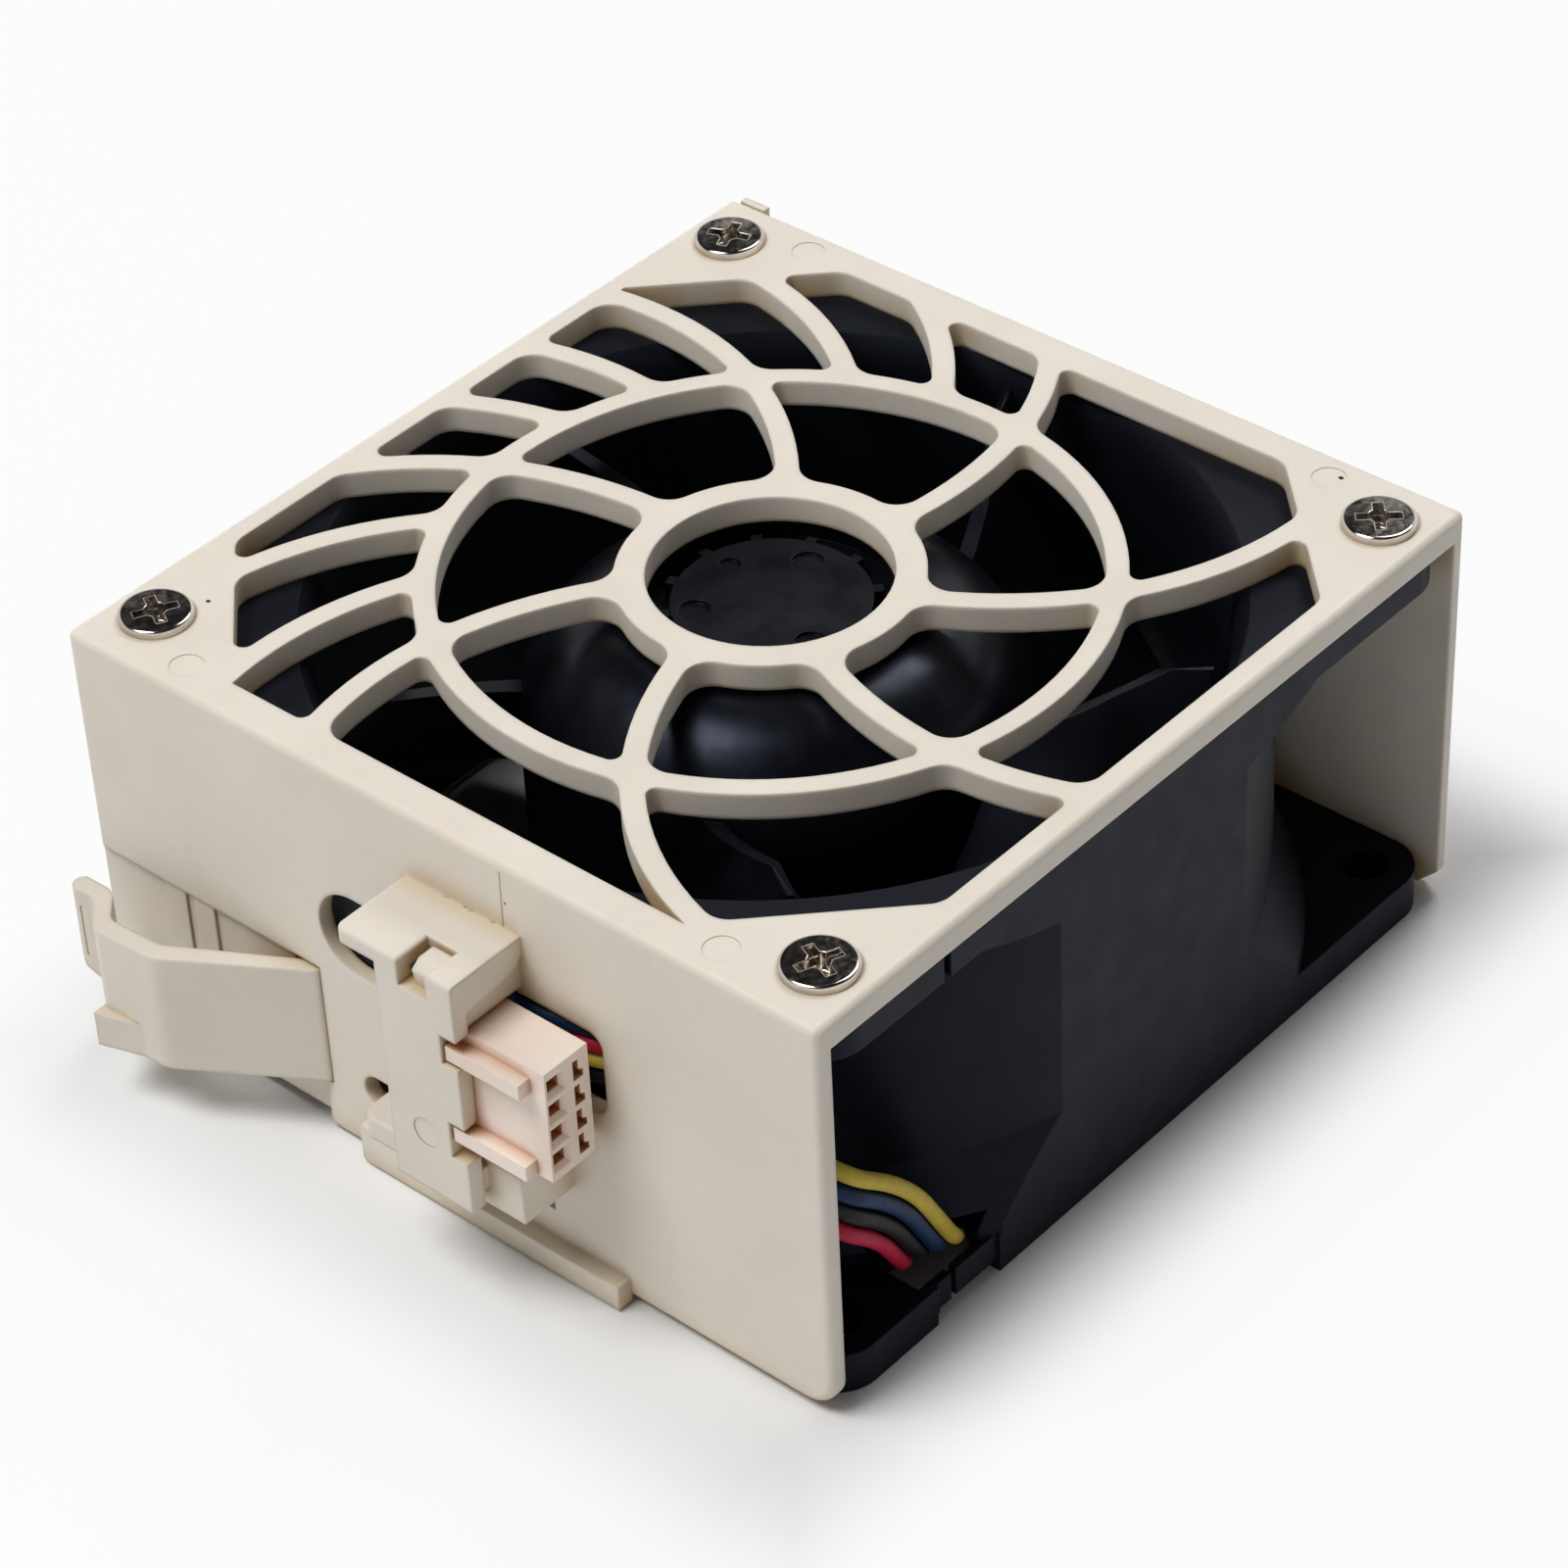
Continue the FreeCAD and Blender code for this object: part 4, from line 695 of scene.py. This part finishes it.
def add_camera(settings):
    """The camera that looks down on the connector corner."""
    data = bpy.data.cameras.new("camera")
    data.lens = settings.lens
    data.sensor_width = 36.0
    data.clip_start = 0.01
    camera = bpy.data.objects.new("camera", data)
    camera.location = CAMERA_PLACE
    camera.rotation_euler = CAMERA_TURN
    bpy.context.scene.collection.objects.link(camera)
    bpy.context.scene.camera = camera


def flat_sheet(name, side, place):
    """A square sheet that belongs to the studio."""
    half = side / 2
    mesh = bpy.data.meshes.new(name)
    mesh.from_pydata([(-half, -half, 0), (half, -half, 0), (half, half, 0), (-half, half, 0)],
                     [], [(0, 1, 2, 3)])
    sheet = bpy.data.objects.new(name, mesh)
    sheet.location = place
    bpy.context.scene.collection.objects.link(sheet)
    return sheet


def add_floor():
    """A plain floor of white paper: white to the eye, with the object's soft shadow."""
    floor = flat_sheet("floor", FLOOR_SIDE, (0, 0, CAD_BOX[0][2] - FLOOR_DROP))
    material = bpy.data.materials.new("Paper matt white")
    material.use_nodes = True
    tree = material.node_tree
    tree.nodes.clear()
    paper = add(tree, "ShaderNodeBsdfDiffuse", {"Color": linear("#E8E8E8")})
    white = add(tree, "ShaderNodeEmission", {"Color": linear("#FFFFFF"), "Strength": 1.0})
    mix = add(tree, "ShaderNodeMixShader", {0: seen_rays(tree), 1: paper.outputs[0],
                                            2: shadowed_white(tree, paper, white)})
    add(tree, "ShaderNodeOutputMaterial", {"Surface": mix.outputs[0]})
    floor.data.materials.append(material)


def shadowed_white(tree, paper, white):
    """Mostly white round the object, and plain lit paper under it."""
    place = add(tree, "ShaderNodeTexCoord").outputs["Object"]
    axes = add(tree, "ShaderNodeSeparateXYZ", {"Vector": place})
    reaches = []
    for axis in (0, 1):
        half = (CAD_BOX[1][axis] - CAD_BOX[0][axis]) / 2
        away = add(tree, "ShaderNodeMath", {0: axes.outputs[axis]}, operation="ABSOLUTE")
        reaches.append(add(tree, "ShaderNodeMath", {0: away.outputs[0], 1: half},
                           operation="DIVIDE").outputs[0])
    far = add(tree, "ShaderNodeMath", {0: reaches[0], 1: reaches[1]}, operation="MAXIMUM")
    share = add(tree, "ShaderNodeMapRange", {"Value": far.outputs[0], "From Min": 0.95,
                                             "From Max": 1.35, "To Min": 0.0, "To Max": 0.85},
                interpolation_type="SMOOTHSTEP")
    return add(tree, "ShaderNodeMixShader", {0: share.outputs[0], 1: paper.outputs[0],
                                             2: white.outputs[0]}).outputs[0]


def seen_rays(tree):
    """One for the rays that show a background: camera, glossy and transmission rays."""
    rays = add(tree, "ShaderNodeLightPath")
    first = add(tree, "ShaderNodeMath", {0: rays.outputs["Is Camera Ray"],
                                         1: rays.outputs["Is Glossy Ray"]}, operation="MAXIMUM")
    both = add(tree, "ShaderNodeMath", {0: first.outputs[0],
                                        1: rays.outputs["Is Transmission Ray"]},
               operation="MAXIMUM")
    return both.outputs[0]


def add_world(settings):
    """White behind the object, and an even light round it."""
    world = bpy.data.worlds.new("studio")
    world.use_nodes = True
    bpy.context.scene.world = world
    tree = world.node_tree
    tree.nodes.clear()
    soft = add(tree, "ShaderNodeBackground", {"Color": linear("#FFFFFF"), "Strength": settings.fill})
    white = add(tree, "ShaderNodeBackground", {"Color": linear("#FFFFFF"), "Strength": 1.0})
    mix = add(tree, "ShaderNodeMixShader", {0: seen_rays(tree), 1: soft.outputs[0],
                                            2: white.outputs[0]})
    add(tree, "ShaderNodeOutputWorld", {"Surface": mix.outputs[0]})


def add_hood():
    """A dark cloth over the table, which keeps the black plastic black."""
    hood = flat_sheet("hood", HOOD_SIDE, (0, 0, HOOD_HEIGHT))
    hood.visible_camera = False
    material = bpy.data.materials.new("Cloth matt black")
    material.use_nodes = True
    shader = material.node_tree.nodes["Principled BSDF"]
    shader.inputs["Base Color"].default_value = linear("#17171A")
    shader.inputs["Roughness"].default_value = 1.0
    hood.data.materials.append(material)


def add_lights(settings):
    """A large soft lamp high in front, and a weaker one behind."""
    for name, place, side, share in LAMPS:
        data = bpy.data.lights.new(name, "AREA")
        data.size = side
        data.energy = settings.key * share
        lamp = bpy.data.objects.new(name, data)
        lamp.location = place
        aim = LAMP_AIM - Vector(place)
        lamp.rotation_euler = aim.to_track_quat("-Z", "Y").to_euler()
        bpy.context.scene.collection.objects.link(lamp)


class BracketSettings(bpy.types.PropertyGroup):
    """Colours of the bracket."""

    colour: bpy.props.StringProperty(
        name="Colour", description="Ivory of the bracket, as sRGB hex", default="#E2DBCF")
    shade: bpy.props.StringProperty(
        name="Shade", description="Its darker clouds, as sRGB hex", default="#DED6CA")


class FanSettings(bpy.types.PropertyGroup):
    """Colours of the fan."""

    frame_colour: bpy.props.StringProperty(
        name="Frame", description="Black of the duct, as sRGB hex", default="#0E1016")
    rotor_colour: bpy.props.StringProperty(
        name="Rotor", description="Black of the impeller, as sRGB hex", default="#0C0D12")


class HarnessSettings(bpy.types.PropertyGroup):
    """Colours of the connector and the wires."""

    housing_colour: bpy.props.StringProperty(
        name="Housing", description="Natural nylon, as sRGB hex", default="#F3E4D8")
    red: bpy.props.StringProperty(name="Red", description="Red wire, as sRGB hex", default="#B81C42")
    yellow: bpy.props.StringProperty(
        name="Yellow", description="Yellow wire, as sRGB hex", default="#CDB64A")
    blue: bpy.props.StringProperty(name="Blue", description="Blue wire, as sRGB hex", default="#0E3056")
    black: bpy.props.StringProperty(
        name="Black", description="Black wire, as sRGB hex", default="#121215")


class StageSettings(bpy.types.PropertyGroup):
    """Camera and light."""

    lens: bpy.props.FloatProperty(name="Lens", description="Focal length in millimetres", default=116.07)
    key: bpy.props.FloatProperty(name="Key light", description="Power of the key light", default=7.6,
                                 subtype="POWER", unit="POWER")
    fill: bpy.props.FloatProperty(name="Fill", description="Strength of the surrounding light",
                                  default=0.36)


class FAN_OT_bracket(bpy.types.Operator):
    """Finish the bracket and its latch arm in moulded ivory plastic"""

    bl_idname = "fan_module.bracket"
    bl_label = "Bracket and latch"

    def execute(self, context):
        plastic = pc_abs()
        finish("fan_bracket", plastic)
        finish("latch_arm", plastic)
        add_flash(plastic)
        add_specks()
        return {"FINISHED"}


class FAN_OT_frame(bpy.types.Operator):
    """Finish the duct in dull black plastic"""

    bl_idname = "fan_module.frame"
    bl_label = "Fan frame"

    def execute(self, context):
        finish("fan_frame", pbt_frame())
        return {"FINISHED"}


class FAN_OT_rotor(bpy.types.Operator):
    """Finish the impeller, yoke, magnet and shaft"""

    bl_idname = "fan_module.rotor"
    bl_label = "Rotor"

    def execute(self, context):
        finish("impeller", pbt_impeller())
        finish("rotor_yoke", zinc_steel())
        finish("magnet_ring", ferrite())
        finish("shaft_boss", turned_brass())
        return {"FINISHED"}


class FAN_OT_bearings(bpy.types.Operator):
    """Finish the shaft and the bearings in ground steel"""

    bl_idname = "fan_module.bearings"
    bl_label = "Shaft and bearings"

    def execute(self, context):
        steel = ground_steel()
        for node in ("rotor_shaft", "bearing_outer_rings", "bearing_inner_rings", "bearing_balls",
                     "retaining_ring", "spring_washer"):
            finish(node, steel)
        finish("bearing_tube", turned_brass())
        add_shields()
        return {"FINISHED"}


class FAN_OT_motor(bpy.types.Operator):
    """Finish the stator and the circuit board"""

    bl_idname = "fan_module.motor"
    bl_label = "Motor and board"

    def execute(self, context):
        finish("stator_core", lamination_stack())
        white = nylon_insulator()
        finish("lower_insulator", white)
        finish("upper_insulator", white)
        add_windings()
        finish("circuit_board", solder_mask())
        resin = epoxy_black()
        finish("driver_chip", resin)
        finish("hall_sensor", resin)
        finish("board_capacitors", drawn_aluminium())
        add_board_detail()
        return {"FINISHED"}


class FAN_OT_screws(bpy.types.Operator):
    """Finish the four screws in nickel plate"""

    bl_idname = "fan_module.screws"
    bl_label = "Screws"

    def execute(self, context):
        finish("fan_screws", nickel_plate())
        return {"FINISHED"}


class FAN_OT_harness(bpy.types.Operator):
    """Finish the connector, its terminals and the four wires"""

    bl_idname = "fan_module.harness"
    bl_label = "Connector and wires"

    def execute(self, context):
        colours = context.scene.fan_module_harness
        finish("connector_housing", nylon_natural())
        bronze = stamped_bronze()
        finish("crimp_terminals", bronze)
        add_lances(bronze)
        finish("wire_red", pvc_sleeve("PVC sleeve red", "#A81638", colours.red))
        finish("wire_yellow", pvc_sleeve("PVC sleeve yellow", "#BBA43C", colours.yellow))
        finish("wire_blue", pvc_sleeve("PVC sleeve blue", "#0A2444", colours.blue))
        finish("wire_black", pvc_sleeve("PVC sleeve black", "#0C0C0E", colours.black))
        return {"FINISHED"}


class FAN_OT_stage(bpy.types.Operator):
    """Add the camera, the floor and the studio lights"""

    bl_idname = "fan_module.stage"
    bl_label = "Studio"

    def execute(self, context):
        settings = context.scene.fan_module_stage
        add_camera(settings)
        add_floor()
        add_world(settings)
        add_hood()
        add_lights(settings)
        context.scene.view_settings.view_transform = "Standard"
        return {"FINISHED"}


class FAN_PT_panel(bpy.types.Panel):
    """Sidebar panel that lists the pieces"""

    bl_idname = "FAN_PT_panel"
    bl_label = "Fan module"
    bl_space_type = "VIEW_3D"
    bl_region_type = "UI"
    bl_category = "Fan module"

    def draw(self, context):
        for operator in OPERATORS:
            self.layout.operator(operator.bl_idname)


SETTINGS = {"fan_module_bracket": BracketSettings, "fan_module_fan": FanSettings,
            "fan_module_harness": HarnessSettings, "fan_module_stage": StageSettings}
OPERATORS = (FAN_OT_bracket, FAN_OT_frame, FAN_OT_rotor, FAN_OT_bearings, FAN_OT_motor,
             FAN_OT_screws, FAN_OT_harness, FAN_OT_stage)
CLASSES = tuple(SETTINGS.values()) + OPERATORS + (FAN_PT_panel,)


def register():
    for item in CLASSES:
        bpy.utils.register_class(item)
    for name, group in SETTINGS.items():
        setattr(bpy.types.Scene, name, bpy.props.PointerProperty(type=group))


def unregister():
    for name in SETTINGS:
        delattr(bpy.types.Scene, name)
    for item in reversed(CLASSES):
        bpy.utils.unregister_class(item)


def main():
    """Registers the add-on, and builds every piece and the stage."""
    register()
    for operator in OPERATORS:
        group, name = operator.bl_idname.split(".")
        getattr(getattr(bpy.ops, group), name)()


if __name__ == "__main__":
    main()
